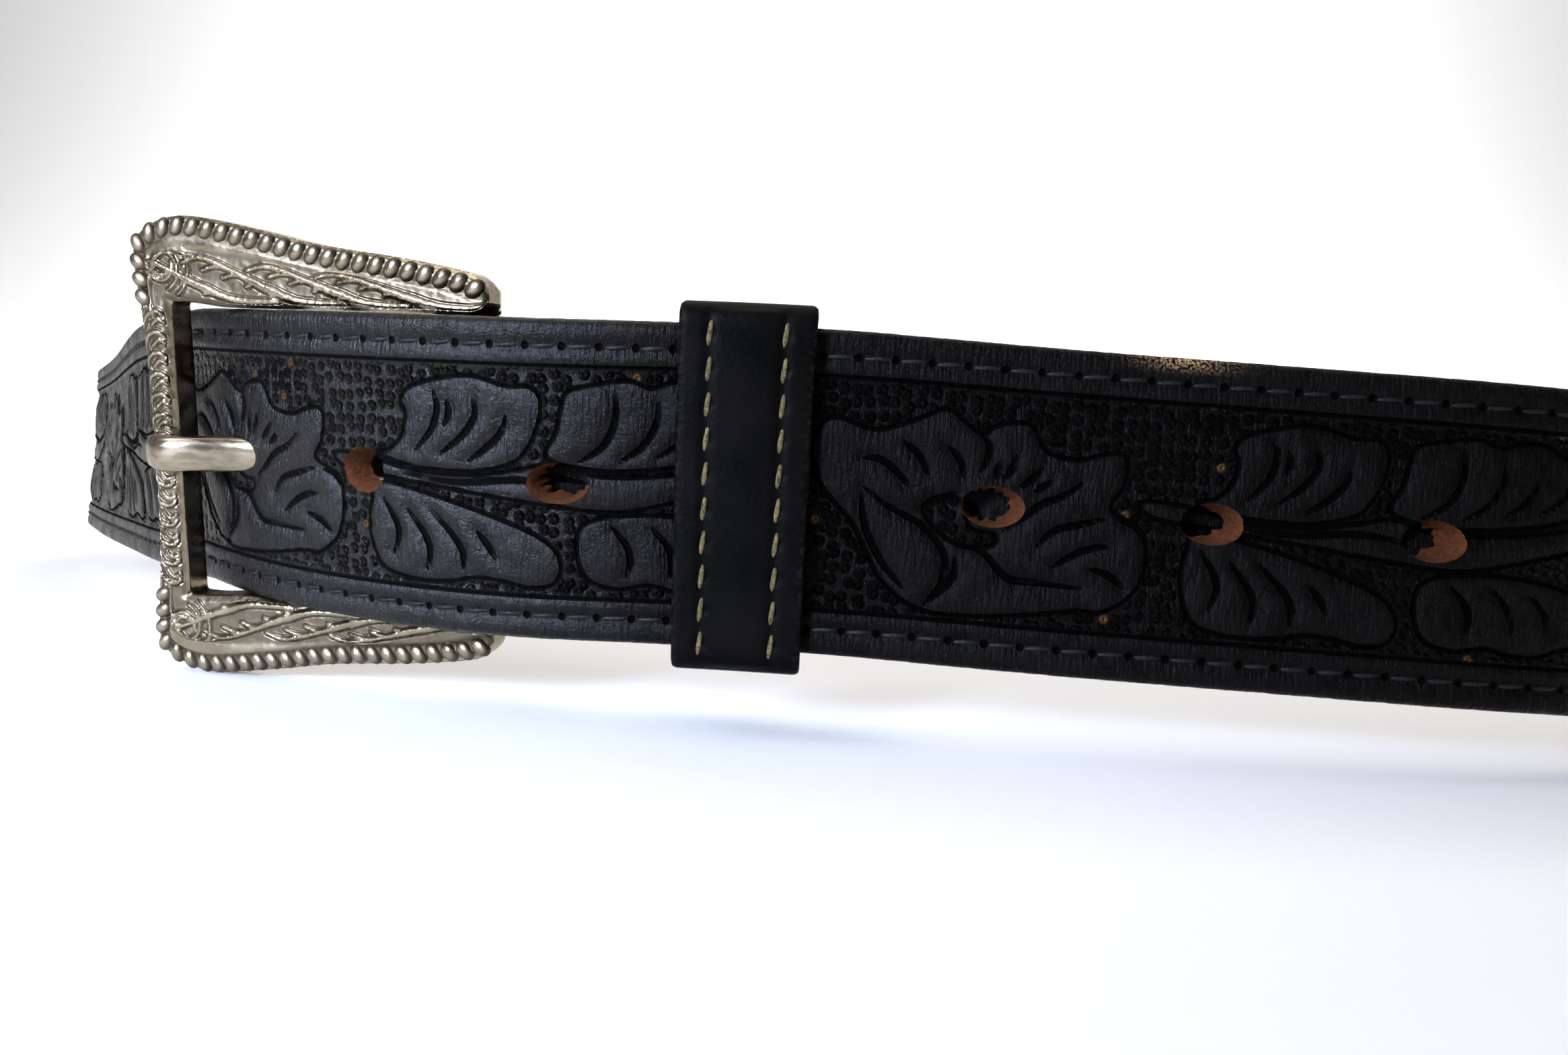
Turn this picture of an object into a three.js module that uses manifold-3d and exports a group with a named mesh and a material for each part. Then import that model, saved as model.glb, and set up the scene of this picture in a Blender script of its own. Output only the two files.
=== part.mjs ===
// A western tooled belt, fastened and standing on its edge, in millimetres.
// It is modelled round the buckle: the heel bar stands at the origin, x runs along the strap away from
// the buckle's front bar, y runs into the loop and z is up from the middle of the strap's width.
// Two groups then turn the flat front of the belt along X and stand it on its lowest points.
// The strap's start is folded round the heel bar, and its tip runs on through the keeper, outside the start.
import * as THREE from 'three';
import { mergeVertices } from 'three/addons/utils/BufferGeometryUtils.js';
import Module from 'manifold-3d';

const wasm = await Module();
wasm.setup();

// Strap
const STRAP_WIDTH = 38.1;
const STRAP_THICK = 3.4;
const EDGE_CHAMFER = 0.9;
const LAYER_GAP = 0.3;
const BELT_SIZE = 1016;
const TIP_PAST_HOLES = 70;
const TIP_ROUNDING = 26;
const TIP_BLUNT_SHARE = 0.4;
const TAB_LENGTH = 56;
const TAB_CLOSING = 20;

// Holes along the strap's middle
const HOLE_COUNT = 7;
const HOLE_PITCH = 25.4;
const HOLE_LENGTH = 7.7;
const HOLE_HEIGHT = 5;

// Buckle frame
const HEEL_BAR_RADIUS = 2;
const SIDE_CLEARANCE = 0.6;
const OPENING_LENGTH = 43.2;
const FRAME_THICK = 4.5;
const FRONT_BAR_WIDTH = 4.5;
const HEEL_OVERHANG = 3.6;
const ARM_WIDTH = 10.9;
const FRAME_BEVEL = 0.5;
const BOSS_RADIUS = 2.9;
const BOSS_LENGTH = 3;
const FRONT_EDGE_LOBE = 1.2;
const LOBE_ENDS_SHARE = 0.7;
const STRAIGHT_EDGE_SHARE = 0.55;

// Prong
const PRONG_WIDTH = 4;
const PRONG_THICK = 3;
const PRONG_CHAMFER = 0.8;
const PRONG_EYE_WALL = 1.5;
const PRONG_CROSSING_SHARE = 0.82;
const PRONG_SHORT_OF_EDGE = 0.1;

// Keeper
const KEEPER_WIDTH = 15.4;
const KEEPER_WALL = 1.9;
const KEEPER_CORNER = 2.4;
const KEEPER_FROM_HEEL = 27.6;
const KEEPER_BEVEL = 0.4;
const KEEPER_CLEARANCE = 0.5;

// Posts that hold the fold
const POST_SHANK_RADIUS = 2;
const POST_HEAD_RADIUS = 3.6;
const POST_HEAD_THICK = 1;
const POST_FROM_HEEL = 21.5;
const POST_SPREAD = 20;

// Shape of the standing loop
const FRONT_TURN = THREE.MathUtils.degToRad(14);
const FRONT_TURN_RADIUS = 66;
const RIGHT_RADIUS = 112;
const LEFT_RADIUS = 62;
const FAR_TURN = THREE.MathUtils.degToRad(12);
const FAR_TURN_RADIUS = 200;
const NEAR_TURN = THREE.MathUtils.degToRad(26);
const BAR_PASS_GAP = 1;
const BUCKLE_LEAN = THREE.MathUtils.degToRad(9.5);
const REST_HEADING = THREE.MathUtils.degToRad(48);
const REST_CORNER_SHARE = 0.8;
const LEAN_FULL_TO = 10;
const LEAN_GONE_AT = 80;
const LEAN_FADE_LEFT = 90;
const LEAN_DEPTH_FULL = 30;
const LEAN_DEPTH_GONE = 110;

// Fineness of the faceted forms
const ROUTE_STEP = 7;
const ARC_STEP = THREE.MathUtils.degToRad(9);
const ROUND_SIDES = 20;
const CURVE_POINTS = 6;
const PRONG_STEPS_PER_ROW = 3;
const TANGENT_STEP = 0.01;
const MERGE_WITHIN = 1e-3;
const CUT_MARGIN = 2;

// What the driving sizes above give
const HALF_TURN = Math.PI;
const QUARTER_TURN = Math.PI / 2;
const LAYER_PITCH = STRAP_THICK + LAYER_GAP;
const FOLD_RADIUS = HEEL_BAR_RADIUS + LAYER_GAP + STRAP_THICK / 2;
const TIP_OVER_HEEL = FOLD_RADIUS + LAYER_PITCH;
const OPENING_HALF = STRAP_WIDTH / 2 + SIDE_CLEARANCE;
const FRAME_LENGTH = HEEL_OVERHANG + OPENING_LENGTH + FRONT_BAR_WIDTH;
const PRONG_REACH = OPENING_LENGTH + (1 - PRONG_SHORT_OF_EDGE) * FRONT_BAR_WIDTH;
const PRONG_RISE = FRAME_THICK + LAYER_GAP + PRONG_THICK / 2;
const PRONG_EYE_RADIUS = HEEL_BAR_RADIUS + LAYER_GAP + PRONG_EYE_WALL;
const PASS_DROP = TIP_OVER_HEEL + STRAP_THICK / 2 + BAR_PASS_GAP;
const NEAR_RADIUS = (OPENING_LENGTH ** 2 + PASS_DROP ** 2) / (2 * PASS_DROP);
const HOLE_FROM_HEEL = NEAR_RADIUS * Math.asin(PRONG_CROSSING_SHARE * OPENING_LENGTH / NEAR_RADIUS);
const MIDDLE_HOLE_OFFSET = (HOLE_COUNT - 1) / 2 * HOLE_PITCH;
const LOOP_TO_HOLE = BELT_SIZE - MIDDLE_HOLE_OFFSET;
const LOOP_LENGTH = LOOP_TO_HOLE + HOLE_FROM_HEEL;
const TIP_LENGTH = (HOLE_COUNT - 1) * HOLE_PITCH + TIP_PAST_HOLES - HOLE_FROM_HEEL;

const leather = { color: 0x1b1a1c, roughness: 0.55, metalness: 0 };
const darkEdge = { color: 0x131214, roughness: 0.45, metalness: 0 };
const silver = { color: 0xa9a49a, roughness: 0.35, metalness: 1 };
const brightMetal = { color: 0xbdb8ad, roughness: 0.25, metalness: 1 };

// Routes in plan. A leg is straight, with a length, or turns left on a radius.

function legLength(leg) {
  return leg.turn ? leg.radius * leg.turn : leg.length;
}

function pointOnLeg(start, leg, along) {
  if (!leg.turn) {
    const x = start.x + along * Math.cos(start.heading);
    const y = start.y + along * Math.sin(start.heading);
    return { x, y, heading: start.heading };
  }
  const heading = start.heading + along / leg.radius;
  const x = start.x + leg.radius * (Math.sin(heading) - Math.sin(start.heading));
  const y = start.y - leg.radius * (Math.cos(heading) - Math.cos(start.heading));
  return { x, y, heading };
}

function pointOnRoute(start, legs, distance) {
  let here = start;
  let left = distance;
  for (const leg of legs) {
    const length = legLength(leg);
    if (left <= length) return pointOnLeg(here, leg, left);
    here = pointOnLeg(here, leg, length);
    left -= length;
  }
  return pointOnLeg(here, { length: 1 }, left);
}

function distancesAlong(legs) {
  const distances = [0];
  let from = 0;
  for (const leg of legs) {
    const length = legLength(leg);
    const bySize = Math.ceil(length / ROUTE_STEP);
    const byTurn = leg.turn ? Math.ceil(leg.turn / ARC_STEP) : 1;
    const steps = Math.max(bySize, byTurn);
    for (let i = 1; i <= steps; i += 1) distances.push(from + length * i / steps);
    from += length;
  }
  return distances;
}

// The loop closes when the tip comes to lie one layer outside the strap's start.
// Three straight lengths are free: the front, the back and the left side.
function loopLegs() {
  const leftHeading = -(FAR_TURN + NEAR_TURN);
  const leftTurn = HALF_TURN + leftHeading - FRONT_TURN;
  const arcs = [
    { radius: FRONT_TURN_RADIUS, turn: FRONT_TURN },
    { radius: RIGHT_RADIUS, turn: HALF_TURN },
    { radius: LEFT_RADIUS, turn: leftTurn },
    { radius: FAR_TURN_RADIUS, turn: FAR_TURN },
    { radius: NEAR_RADIUS, turn: NEAR_TURN },
  ];
  const turned = pointOnRoute({ x: 0, y: 0, heading: 0 }, arcs, arcs.reduce((sum, a) => sum + legLength(a), 0));
  const missing = { x: -turned.x, y: -LAYER_PITCH - turned.y };
  const straightTotal = LOOP_LENGTH - arcs.reduce((sum, a) => sum + legLength(a), 0);
  const front = new THREE.Vector2(Math.cos(FRONT_TURN), Math.sin(FRONT_TURN));
  const left = new THREE.Vector2(Math.cos(leftHeading), Math.sin(leftHeading));
  const crossed = front.cross(left);
  const leftLength = front.cross(missing) / crossed;
  const frontLessBack = (missing.x - leftLength * left.x) / front.x;
  const frontLength = (straightTotal - leftLength + frontLessBack) / 2;
  const backLength = frontLength - frontLessBack;
  return [
    arcs[0],
    { length: frontLength },
    arcs[1],
    { length: backLength },
    arcs[2],
    { length: leftLength },
    arcs[3],
    arcs[4],
  ];
}

const strapStart = { x: 0, y: -FOLD_RADIUS, heading: 0 };
const loop = loopLegs();
const tipStart = { x: 0, y: -TIP_OVER_HEEL, heading: 0 };
const tipLegs = [
  { radius: FRONT_TURN_RADIUS + LAYER_PITCH, turn: FRONT_TURN },
  { length: loop[1].length },
  { radius: RIGHT_RADIUS + LAYER_PITCH, turn: HALF_TURN },
];

function mainAt(distance) {
  return pointOnRoute(strapStart, loop, distance);
}

function tipAt(distance) {
  if (distance >= 0) return pointOnRoute(tipStart, tipLegs, distance);
  return mainAt(LOOP_LENGTH + distance);
}

// The tab leaves the fold a bar's width inside the strap and closes on it within a short way
function tabAt(distance) {
  const station = mainAt(distance);
  const closed = THREE.MathUtils.smoothstep(distance, 0, TAB_CLOSING);
  const inside = THREE.MathUtils.lerp(2 * FOLD_RADIUS, LAYER_PITCH, closed);
  const x = station.x - inside * Math.sin(station.heading);
  const y = station.y + inside * Math.cos(station.heading);
  return { x, y };
}

function tabStations() {
  const count = Math.ceil(TAB_LENGTH / (ROUTE_STEP / 2));
  const stations = [];
  for (let i = count; i >= 1; i -= 1) {
    const distance = TAB_LENGTH * i / count;
    const here = tabAt(distance);
    const before = tabAt(distance + TANGENT_STEP);
    const after = tabAt(distance - TANGENT_STEP);
    const heading = Math.atan2(after.y - before.y, after.x - before.x);
    stations.push({ ...here, heading, toEnd: TAB_LENGTH - distance });
  }
  return stations;
}

function foldStations() {
  const steps = Math.ceil(HALF_TURN / (2 * ARC_STEP));
  const start = { x: 0, y: FOLD_RADIUS, heading: HALF_TURN };
  const stations = [];
  for (let i = 0; i < steps; i += 1) {
    stations.push(pointOnLeg(start, { radius: FOLD_RADIUS, turn: HALF_TURN }, FOLD_RADIUS * HALF_TURN * i / steps));
  }
  return stations;
}

function tipDistances() {
  const distances = distancesAlong([tipLegs[0], tipLegs[1]]).slice(1);
  const straightEnd = distances.at(-1);
  const square = TIP_LENGTH - TIP_ROUNDING;
  const kept = distances.filter((distance) => distance < square - 1);
  const bend = square > straightEnd ? Math.ceil((square - straightEnd) / ROUTE_STEP) : 1;
  const from = kept.at(-1);
  for (let i = 1; i <= bend; i += 1) kept.push(from + (square - from) * i / bend);
  for (let i = 1; i <= CURVE_POINTS; i += 1) {
    kept.push(square + TIP_ROUNDING * Math.sin(QUARTER_TURN * i / CURVE_POINTS));
  }
  return kept;
}

// Half the strap's width a given way from its end: full, then rounding in to a blunt point
function halfWidthAt(toEnd) {
  const half = STRAP_WIDTH / 2;
  if (toEnd === undefined || toEnd >= TIP_ROUNDING) return half;
  const into = 1 - toEnd / TIP_ROUNDING;
  const round = Math.sqrt(Math.max(0, 1 - into ** 2));
  return half * (TIP_BLUNT_SHARE + (1 - TIP_BLUNT_SHARE) * round);
}

function strapStations() {
  const main = distancesAlong(loop).map((distance) => mainAt(distance));
  const tip = tipDistances().map((distance) => ({ ...tipAt(distance), toEnd: TIP_LENGTH - distance }));
  return [...tabStations(), ...foldStations(), ...main, ...tip];
}

// Solids

function chamferedSection(halfThick, halfHeight, chamfer) {
  const thin = halfThick - chamfer;
  const low = halfHeight - chamfer;
  return [
    [halfThick, -low], [halfThick, low], [thin, halfHeight], [-thin, halfHeight],
    [-halfThick, low], [-halfThick, -low], [-thin, -halfHeight], [thin, -halfHeight],
  ];
}

// A section of [outward, up] points carried along the stations, with both ends closed
function sweep(stations, sectionAt) {
  const positions = [];
  const faces = [];
  for (const station of stations) {
    for (const [out, up] of sectionAt(station)) {
      const x = station.x + out * Math.sin(station.heading);
      const y = station.y - out * Math.cos(station.heading);
      positions.push(x, y, up);
    }
  }
  const sides = sectionAt(stations[0]).length;
  const last = (stations.length - 1) * sides;
  for (let i = 0; i < stations.length - 1; i += 1) {
    for (let k = 0; k < sides; k += 1) {
      const a = i * sides + k;
      const b = i * sides + (k + 1) % sides;
      faces.push(a, a + sides, b, b, a + sides, b + sides);
    }
  }
  for (let k = 1; k < sides - 1; k += 1) {
    faces.push(0, k, k + 1);
    faces.push(last, last + k + 1, last + k);
  }
  const geometry = new THREE.BufferGeometry();
  geometry.setAttribute('position', new THREE.Float32BufferAttribute(positions, 3));
  geometry.setIndex(faces);
  return geometry;
}

function toSolid(geometry) {
  geometry.deleteAttribute('normal');
  geometry.deleteAttribute('uv');
  const merged = mergeVertices(geometry, MERGE_WITHIN);
  const vertProperties = new Float32Array(merged.attributes.position.array);
  const triVerts = new Uint32Array(merged.index.array);
  return new wasm.Manifold(new wasm.Mesh({ numProp: 3, vertProperties, triVerts }));
}

function toGeometry(solid) {
  const mesh = solid.getMesh();
  const geometry = new THREE.BufferGeometry();
  geometry.setAttribute('position', new THREE.Float32BufferAttribute(mesh.vertProperties, mesh.numProp));
  geometry.setIndex(Array.from(mesh.triVerts));
  return geometry;
}

// Puts a shape made round its own middle at a station of a route
function placeAt(station, geometry, up = 0) {
  geometry.rotateZ(station.heading);
  geometry.translate(station.x, station.y, up);
  return geometry;
}

// An outline in x and z, drawn out along y and centred on it
function plate(shape, thick, bevel = 0) {
  const geometry = new THREE.ExtrudeGeometry(shape, {
    depth: thick - 2 * bevel,
    bevelEnabled: bevel > 0,
    bevelThickness: bevel,
    bevelSize: bevel,
    bevelOffset: -bevel,
    bevelSegments: 1,
    curveSegments: CURVE_POINTS,
  });
  geometry.translate(0, 0, bevel - thick / 2);
  geometry.rotateX(QUARTER_TURN);
  return geometry;
}

function ovalHole() {
  const radius = HOLE_HEIGHT / 2;
  const reach = HOLE_LENGTH / 2 - radius;
  const shape = new THREE.Shape();
  shape.absarc(reach, 0, radius, -QUARTER_TURN, QUARTER_TURN, false);
  shape.absarc(-reach, 0, radius, QUARTER_TURN, QUARTER_TURN + HALF_TURN, false);
  shape.closePath();
  return plate(shape, STRAP_THICK + LAYER_GAP);
}

function uprightRod(radius, height) {
  const rod = new THREE.CylinderGeometry(radius, radius, height, ROUND_SIDES);
  rod.rotateX(QUARTER_TURN);
  return rod;
}

// The prong's middle line: share of its reach, share of its rise on to the front bar, share of its thickness
const prongTable = [
  { reach: 0, rise: 0, thick: 1 },
  { reach: 0.22, rise: 0.01, thick: 1 },
  { reach: 0.42, rise: 0.03, thick: 1 },
  { reach: 0.6, rise: 0.12, thick: 1 },
  { reach: 0.74, rise: 0.42, thick: 1 },
  { reach: 0.86, rise: 0.88, thick: 1 },
  { reach: 0.93, rise: 1, thick: 1 },
  { reach: 1, rise: 0.88, thick: 0.5 },
];

function prongStations() {
  const line = new THREE.CatmullRomCurve3(prongTable.map((row) => (
    new THREE.Vector3(-row.reach * PRONG_REACH, -row.rise * PRONG_RISE, row.thick)
  )));
  const steps = prongTable.length * PRONG_STEPS_PER_ROW;
  return line.getPoints(steps).map((point, i) => {
    const tangent = line.getTangent(i / steps);
    return { x: point.x, y: point.y, heading: Math.atan2(tangent.y, tangent.x), thick: point.z };
  });
}

function prongBlade(clearance) {
  return toSolid(sweep(prongStations(), (station) => {
    const halfThick = station.thick * PRONG_THICK / 2 + clearance;
    return chamferedSection(halfThick, PRONG_WIDTH / 2 + clearance, station.thick * PRONG_CHAMFER);
  }));
}

function prong() {
  const eye = toSolid(uprightRod(PRONG_EYE_RADIUS, PRONG_WIDTH));
  const bore = toSolid(uprightRod(HEEL_BAR_RADIUS + LAYER_GAP, PRONG_WIDTH + CUT_MARGIN));
  return prongBlade(0).add(eye).subtract(bore);
}

// Room in the fold for the prong's eye, which stops short of the tip lying over it
function foldSlot() {
  const height = PRONG_WIDTH + 4 * LAYER_GAP;
  const radius = FOLD_RADIUS + STRAP_THICK / 2 + LAYER_GAP / 2;
  const round = toSolid(uprightRod(radius, height));
  const length = 2 * PRONG_EYE_RADIUS;
  const straight = new THREE.BoxGeometry(length, 2 * radius, height);
  straight.translate(length / 2, 0, 0);
  return round.add(toSolid(straight));
}

function postStation() {
  return mainAt(POST_FROM_HEEL);
}

function post() {
  const outerFace = -STRAP_THICK / 2;
  const innerFace = outerFace + STRAP_THICK + LAYER_PITCH + LAYER_GAP;
  const profile = [
    new THREE.Vector2(0, outerFace),
    new THREE.Vector2(POST_HEAD_RADIUS, outerFace),
    new THREE.Vector2(POST_HEAD_RADIUS, outerFace + POST_HEAD_THICK),
    new THREE.Vector2(POST_SHANK_RADIUS, outerFace + POST_HEAD_THICK),
    new THREE.Vector2(POST_SHANK_RADIUS, innerFace),
    new THREE.Vector2(POST_HEAD_RADIUS, innerFace),
    new THREE.Vector2(POST_HEAD_RADIUS, innerFace + POST_HEAD_THICK),
    new THREE.Vector2(0, innerFace + POST_HEAD_THICK),
  ];
  return new THREE.LatheGeometry(profile, ROUND_SIDES);
}

// The leather round a post: a hole through strap and tab, and a seat for the outer head
function postHole() {
  const through = 2 * STRAP_THICK + 3 * LAYER_GAP;
  const hole = new THREE.CylinderGeometry(
    POST_SHANK_RADIUS + LAYER_GAP, POST_SHANK_RADIUS + LAYER_GAP, through, ROUND_SIDES,
  );
  hole.translate(0, through / 2 - STRAP_THICK / 2 - LAYER_GAP / 2, 0);
  const depth = POST_HEAD_THICK + 2 * LAYER_GAP;
  const seatRadius = POST_HEAD_RADIUS + LAYER_GAP;
  const seat = new THREE.CylinderGeometry(seatRadius, seatRadius, depth, ROUND_SIDES);
  seat.translate(0, depth / 2 - STRAP_THICK / 2 - LAYER_GAP, 0);
  return toSolid(hole).add(toSolid(seat));
}

function moved(solid, station, up) {
  return solid.rotate([0, 0, THREE.MathUtils.radToDeg(station.heading)]).translate([station.x, station.y, up]);
}

function strap() {
  let solid = toSolid(sweep(strapStations(), (station) => (
    chamferedSection(STRAP_THICK / 2, halfWidthAt(station.toEnd ?? TIP_ROUNDING), EDGE_CHAMFER)
  )));
  for (let i = 0; i < HOLE_COUNT; i += 1) {
    const distance = i * HOLE_PITCH - HOLE_FROM_HEEL;
    solid = solid.subtract(toSolid(placeAt(tipAt(distance), ovalHole())));
  }
  for (const side of [-1, 1]) {
    solid = solid.subtract(moved(postHole(), postStation(), side * POST_SPREAD / 2));
  }
  return solid.subtract(prongBlade(LAYER_GAP)).subtract(foldSlot());
}

// The outer edge of an arm: share of the frame's length from its heel end, share of the arm's full width
const armTable = [
  { along: 0, width: 0.32 },
  { along: 0.07, width: 0.43 },
  { along: 0.23, width: 0.56 },
  { along: 0.45, width: 0.69 },
  { along: 0.61, width: 0.84 },
  { along: 0.78, width: 0.98 },
  { along: 0.87, width: 1 },
  { along: 0.95, width: 0.9 },
  { along: 1, width: 0.66 },
];

function frameOutline() {
  const upper = armTable.map((row) => new THREE.Vector2(
    HEEL_OVERHANG - row.along * (FRAME_LENGTH + FRONT_EDGE_LOBE),
    OPENING_HALF + row.width * ARM_WIDTH,
  ));
  const frontEdge = HEEL_OVERHANG - FRAME_LENGTH;
  const down = [
    new THREE.Vector2(frontEdge - LOBE_ENDS_SHARE * FRONT_EDGE_LOBE, OPENING_HALF),
    new THREE.Vector2(frontEdge, STRAIGHT_EDGE_SHARE * OPENING_HALF),
    new THREE.Vector2(frontEdge, 0),
  ];
  const half = [...upper, ...down];
  const mirrored = half.slice(0, -1).reverse().map((point) => new THREE.Vector2(point.x, -point.y));
  const outer = [...half, ...mirrored];
  const shape = new THREE.Shape();
  shape.moveTo(HEEL_OVERHANG, OPENING_HALF);
  shape.lineTo(outer[0].x, outer[0].y);
  shape.splineThru(outer.slice(1));
  shape.lineTo(HEEL_OVERHANG, -OPENING_HALF);
  shape.lineTo(-OPENING_LENGTH, -OPENING_HALF);
  shape.lineTo(-OPENING_LENGTH, OPENING_HALF);
  shape.closePath();
  return shape;
}

function buckleFrame() {
  const face = plate(frameOutline(), FRAME_THICK, FRAME_BEVEL);
  face.translate(0, -FRAME_THICK / 2, 0);
  let frame = toSolid(face).add(toSolid(uprightRod(HEEL_BAR_RADIUS, 2 * OPENING_HALF + BOSS_LENGTH)));
  for (const side of [-1, 1]) {
    const boss = uprightRod(BOSS_RADIUS, BOSS_LENGTH);
    boss.translate(0, 0, side * (OPENING_HALF + BOSS_LENGTH / 2));
    frame = frame.add(toSolid(boss));
  }
  return frame;
}

function roundedRectangle(width, height, corner, Kind) {
  const path = new Kind();
  const x = width / 2 - corner;
  const y = height / 2 - corner;
  path.absarc(x, y, corner, 0, QUARTER_TURN, false);
  path.absarc(-x, y, corner, QUARTER_TURN, HALF_TURN, false);
  path.absarc(-x, -y, corner, HALF_TURN, HALF_TURN + QUARTER_TURN, false);
  path.absarc(x, -y, corner, HALF_TURN + QUARTER_TURN, 2 * HALF_TURN, false);
  path.closePath();
  return path;
}

// A band round the tip, the strap and the tab
function keeper() {
  const inDepth = 3 * STRAP_THICK + 2 * LAYER_GAP + 2 * KEEPER_CLEARANCE;
  const inHeight = STRAP_WIDTH + 2 * KEEPER_CLEARANCE;
  const outDepth = inDepth + 2 * KEEPER_WALL;
  const outHeight = inHeight + 2 * KEEPER_WALL;
  const shape = roundedRectangle(outDepth, outHeight, KEEPER_CORNER, THREE.Shape);
  shape.holes.push(roundedRectangle(inDepth, inHeight, EDGE_CHAMFER, THREE.Path));
  const band = plate(shape, KEEPER_WIDTH, KEEPER_BEVEL);
  band.rotateZ(QUARTER_TURN);
  return placeAt(mainAt(KEEPER_FROM_HEEL + KEEPER_WIDTH / 2), band);
}

// The buckle leans out at its top, and the strap takes up the lean on both sides of it
function leanAt(x, y) {
  const right = 1 - THREE.MathUtils.smoothstep(x, LEAN_FULL_TO, LEAN_GONE_AT);
  const frontEnd = -(OPENING_LENGTH + 2 * FRONT_BAR_WIDTH);
  const left = THREE.MathUtils.smoothstep(x, frontEnd - LEAN_FADE_LEFT, frontEnd);
  const depth = 1 - THREE.MathUtils.smoothstep(y, LEAN_DEPTH_FULL, LEAN_DEPTH_GONE);
  return BUCKLE_LEAN * right * left * depth;
}

function leaned(geometry) {
  const positions = geometry.attributes.position;
  for (let i = 0; i < positions.count; i += 1) {
    const x = positions.getX(i);
    const y = positions.getY(i);
    const z = positions.getZ(i);
    const lean = leanAt(x, y);
    const newY = y * Math.cos(lean) - z * Math.sin(lean);
    const newZ = z * Math.cos(lean) + Math.min(y, HEEL_BAR_RADIUS) * Math.sin(lean);
    positions.setXYZ(i, x, newY, newZ);
  }
  geometry.computeVertexNormals();
  return geometry;
}

function named(name, geometry, look) {
  geometry.deleteAttribute('uv');
  const mesh = new THREE.Mesh(leaned(geometry), new THREE.MeshStandardMaterial(look));
  mesh.name = name;
  return mesh;
}

const belt = new THREE.Group();
belt.add(named('strap', toGeometry(strap()), leather));
belt.add(named('keeper', keeper(), darkEdge));
belt.add(named('buckle_frame', toGeometry(buckleFrame()), silver));
belt.add(named('prong', toGeometry(prong()), brightMetal));
[-1, 1].forEach((side, i) => {
  const made = toSolid(placeAt(postStation(), post(), side * POST_SPREAD / 2));
  belt.add(named(`fold_post_${i + 1}`, toGeometry(made), silver));
});
belt.rotation.z = -FRONT_TURN;

// The frame's lower corner is the lowest point in front, and the loop's far edge is let down to meet
// the same floor, so the whole belt tips by the angle between them.
function restTilt() {
  const corner = new THREE.Vector2(-REST_CORNER_SHARE * OPENING_LENGTH, 0);
  const rightStart = pointOnRoute(strapStart, loop, legLength(loop[0]) + loop[1].length);
  const centre = new THREE.Vector2(
    rightStart.x - RIGHT_RADIUS * Math.sin(rightStart.heading),
    rightStart.y + RIGHT_RADIUS * Math.cos(rightStart.heading),
  );
  const away = new THREE.Vector2(Math.cos(REST_HEADING + FRONT_TURN), Math.sin(REST_HEADING + FRONT_TURN));
  const span = centre.sub(corner).dot(away) + RIGHT_RADIUS;
  const drop = OPENING_HALF + ARM_WIDTH - STRAP_WIDTH / 2;
  return Math.atan2(drop, span);
}

const group = new THREE.Group();
const tipped = new THREE.Group();
const tipAxis = new THREE.Vector3(-Math.sin(REST_HEADING), Math.cos(REST_HEADING), 0);
tipped.quaternion.setFromAxisAngle(tipAxis, restTilt());
tipped.add(belt);
group.add(tipped);
group.updateMatrixWorld(true);
const box = new THREE.Box3().setFromObject(group, true);
group.position.set(-(box.min.x + box.max.x) / 2, -(box.min.y + box.max.y) / 2, -box.min.z);

export default group;
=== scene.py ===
# A western tooled belt, fastened and standing on its edge: tooled leather, stitches, keeper and cast buckle.
# Sizes are in millimetres until a piece is settled into the frame, which is in metres.
import math
import bpy
import numpy as np
from mathutils import Euler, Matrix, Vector


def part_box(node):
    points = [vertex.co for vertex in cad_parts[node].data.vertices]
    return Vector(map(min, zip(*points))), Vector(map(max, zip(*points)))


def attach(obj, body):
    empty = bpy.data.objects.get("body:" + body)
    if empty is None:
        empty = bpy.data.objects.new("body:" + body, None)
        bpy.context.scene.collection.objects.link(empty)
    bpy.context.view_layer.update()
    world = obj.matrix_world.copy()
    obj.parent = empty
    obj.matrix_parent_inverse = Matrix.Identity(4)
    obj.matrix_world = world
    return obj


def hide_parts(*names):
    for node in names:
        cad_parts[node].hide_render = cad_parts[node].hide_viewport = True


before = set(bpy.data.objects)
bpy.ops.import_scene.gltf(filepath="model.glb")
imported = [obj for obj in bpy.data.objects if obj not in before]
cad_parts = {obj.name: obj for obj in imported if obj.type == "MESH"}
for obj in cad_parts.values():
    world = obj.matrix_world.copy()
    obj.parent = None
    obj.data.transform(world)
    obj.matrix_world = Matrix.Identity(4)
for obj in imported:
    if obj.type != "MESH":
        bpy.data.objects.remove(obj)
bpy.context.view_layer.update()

MM = 0.001
UV_UNIT = 100

# Strap
STRAP_WIDTH = 38.1
STRAP_THICK = 3.4
STRAP_CHAMFER = 0.9
LAYER_GAP = 0.3
BELT_SIZE = 1016
TIP_PAST_HOLES = 70
TIP_ROUNDING = 26
TIP_BLUNT_SHARE = 0.4
TAB_LENGTH = 56
TAB_CLOSING = 20
HOLE_COUNT = 7
HOLE_PITCH = 25.4
HOLE_LENGTH = 7.7
HOLE_HEIGHT = 5.0

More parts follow.
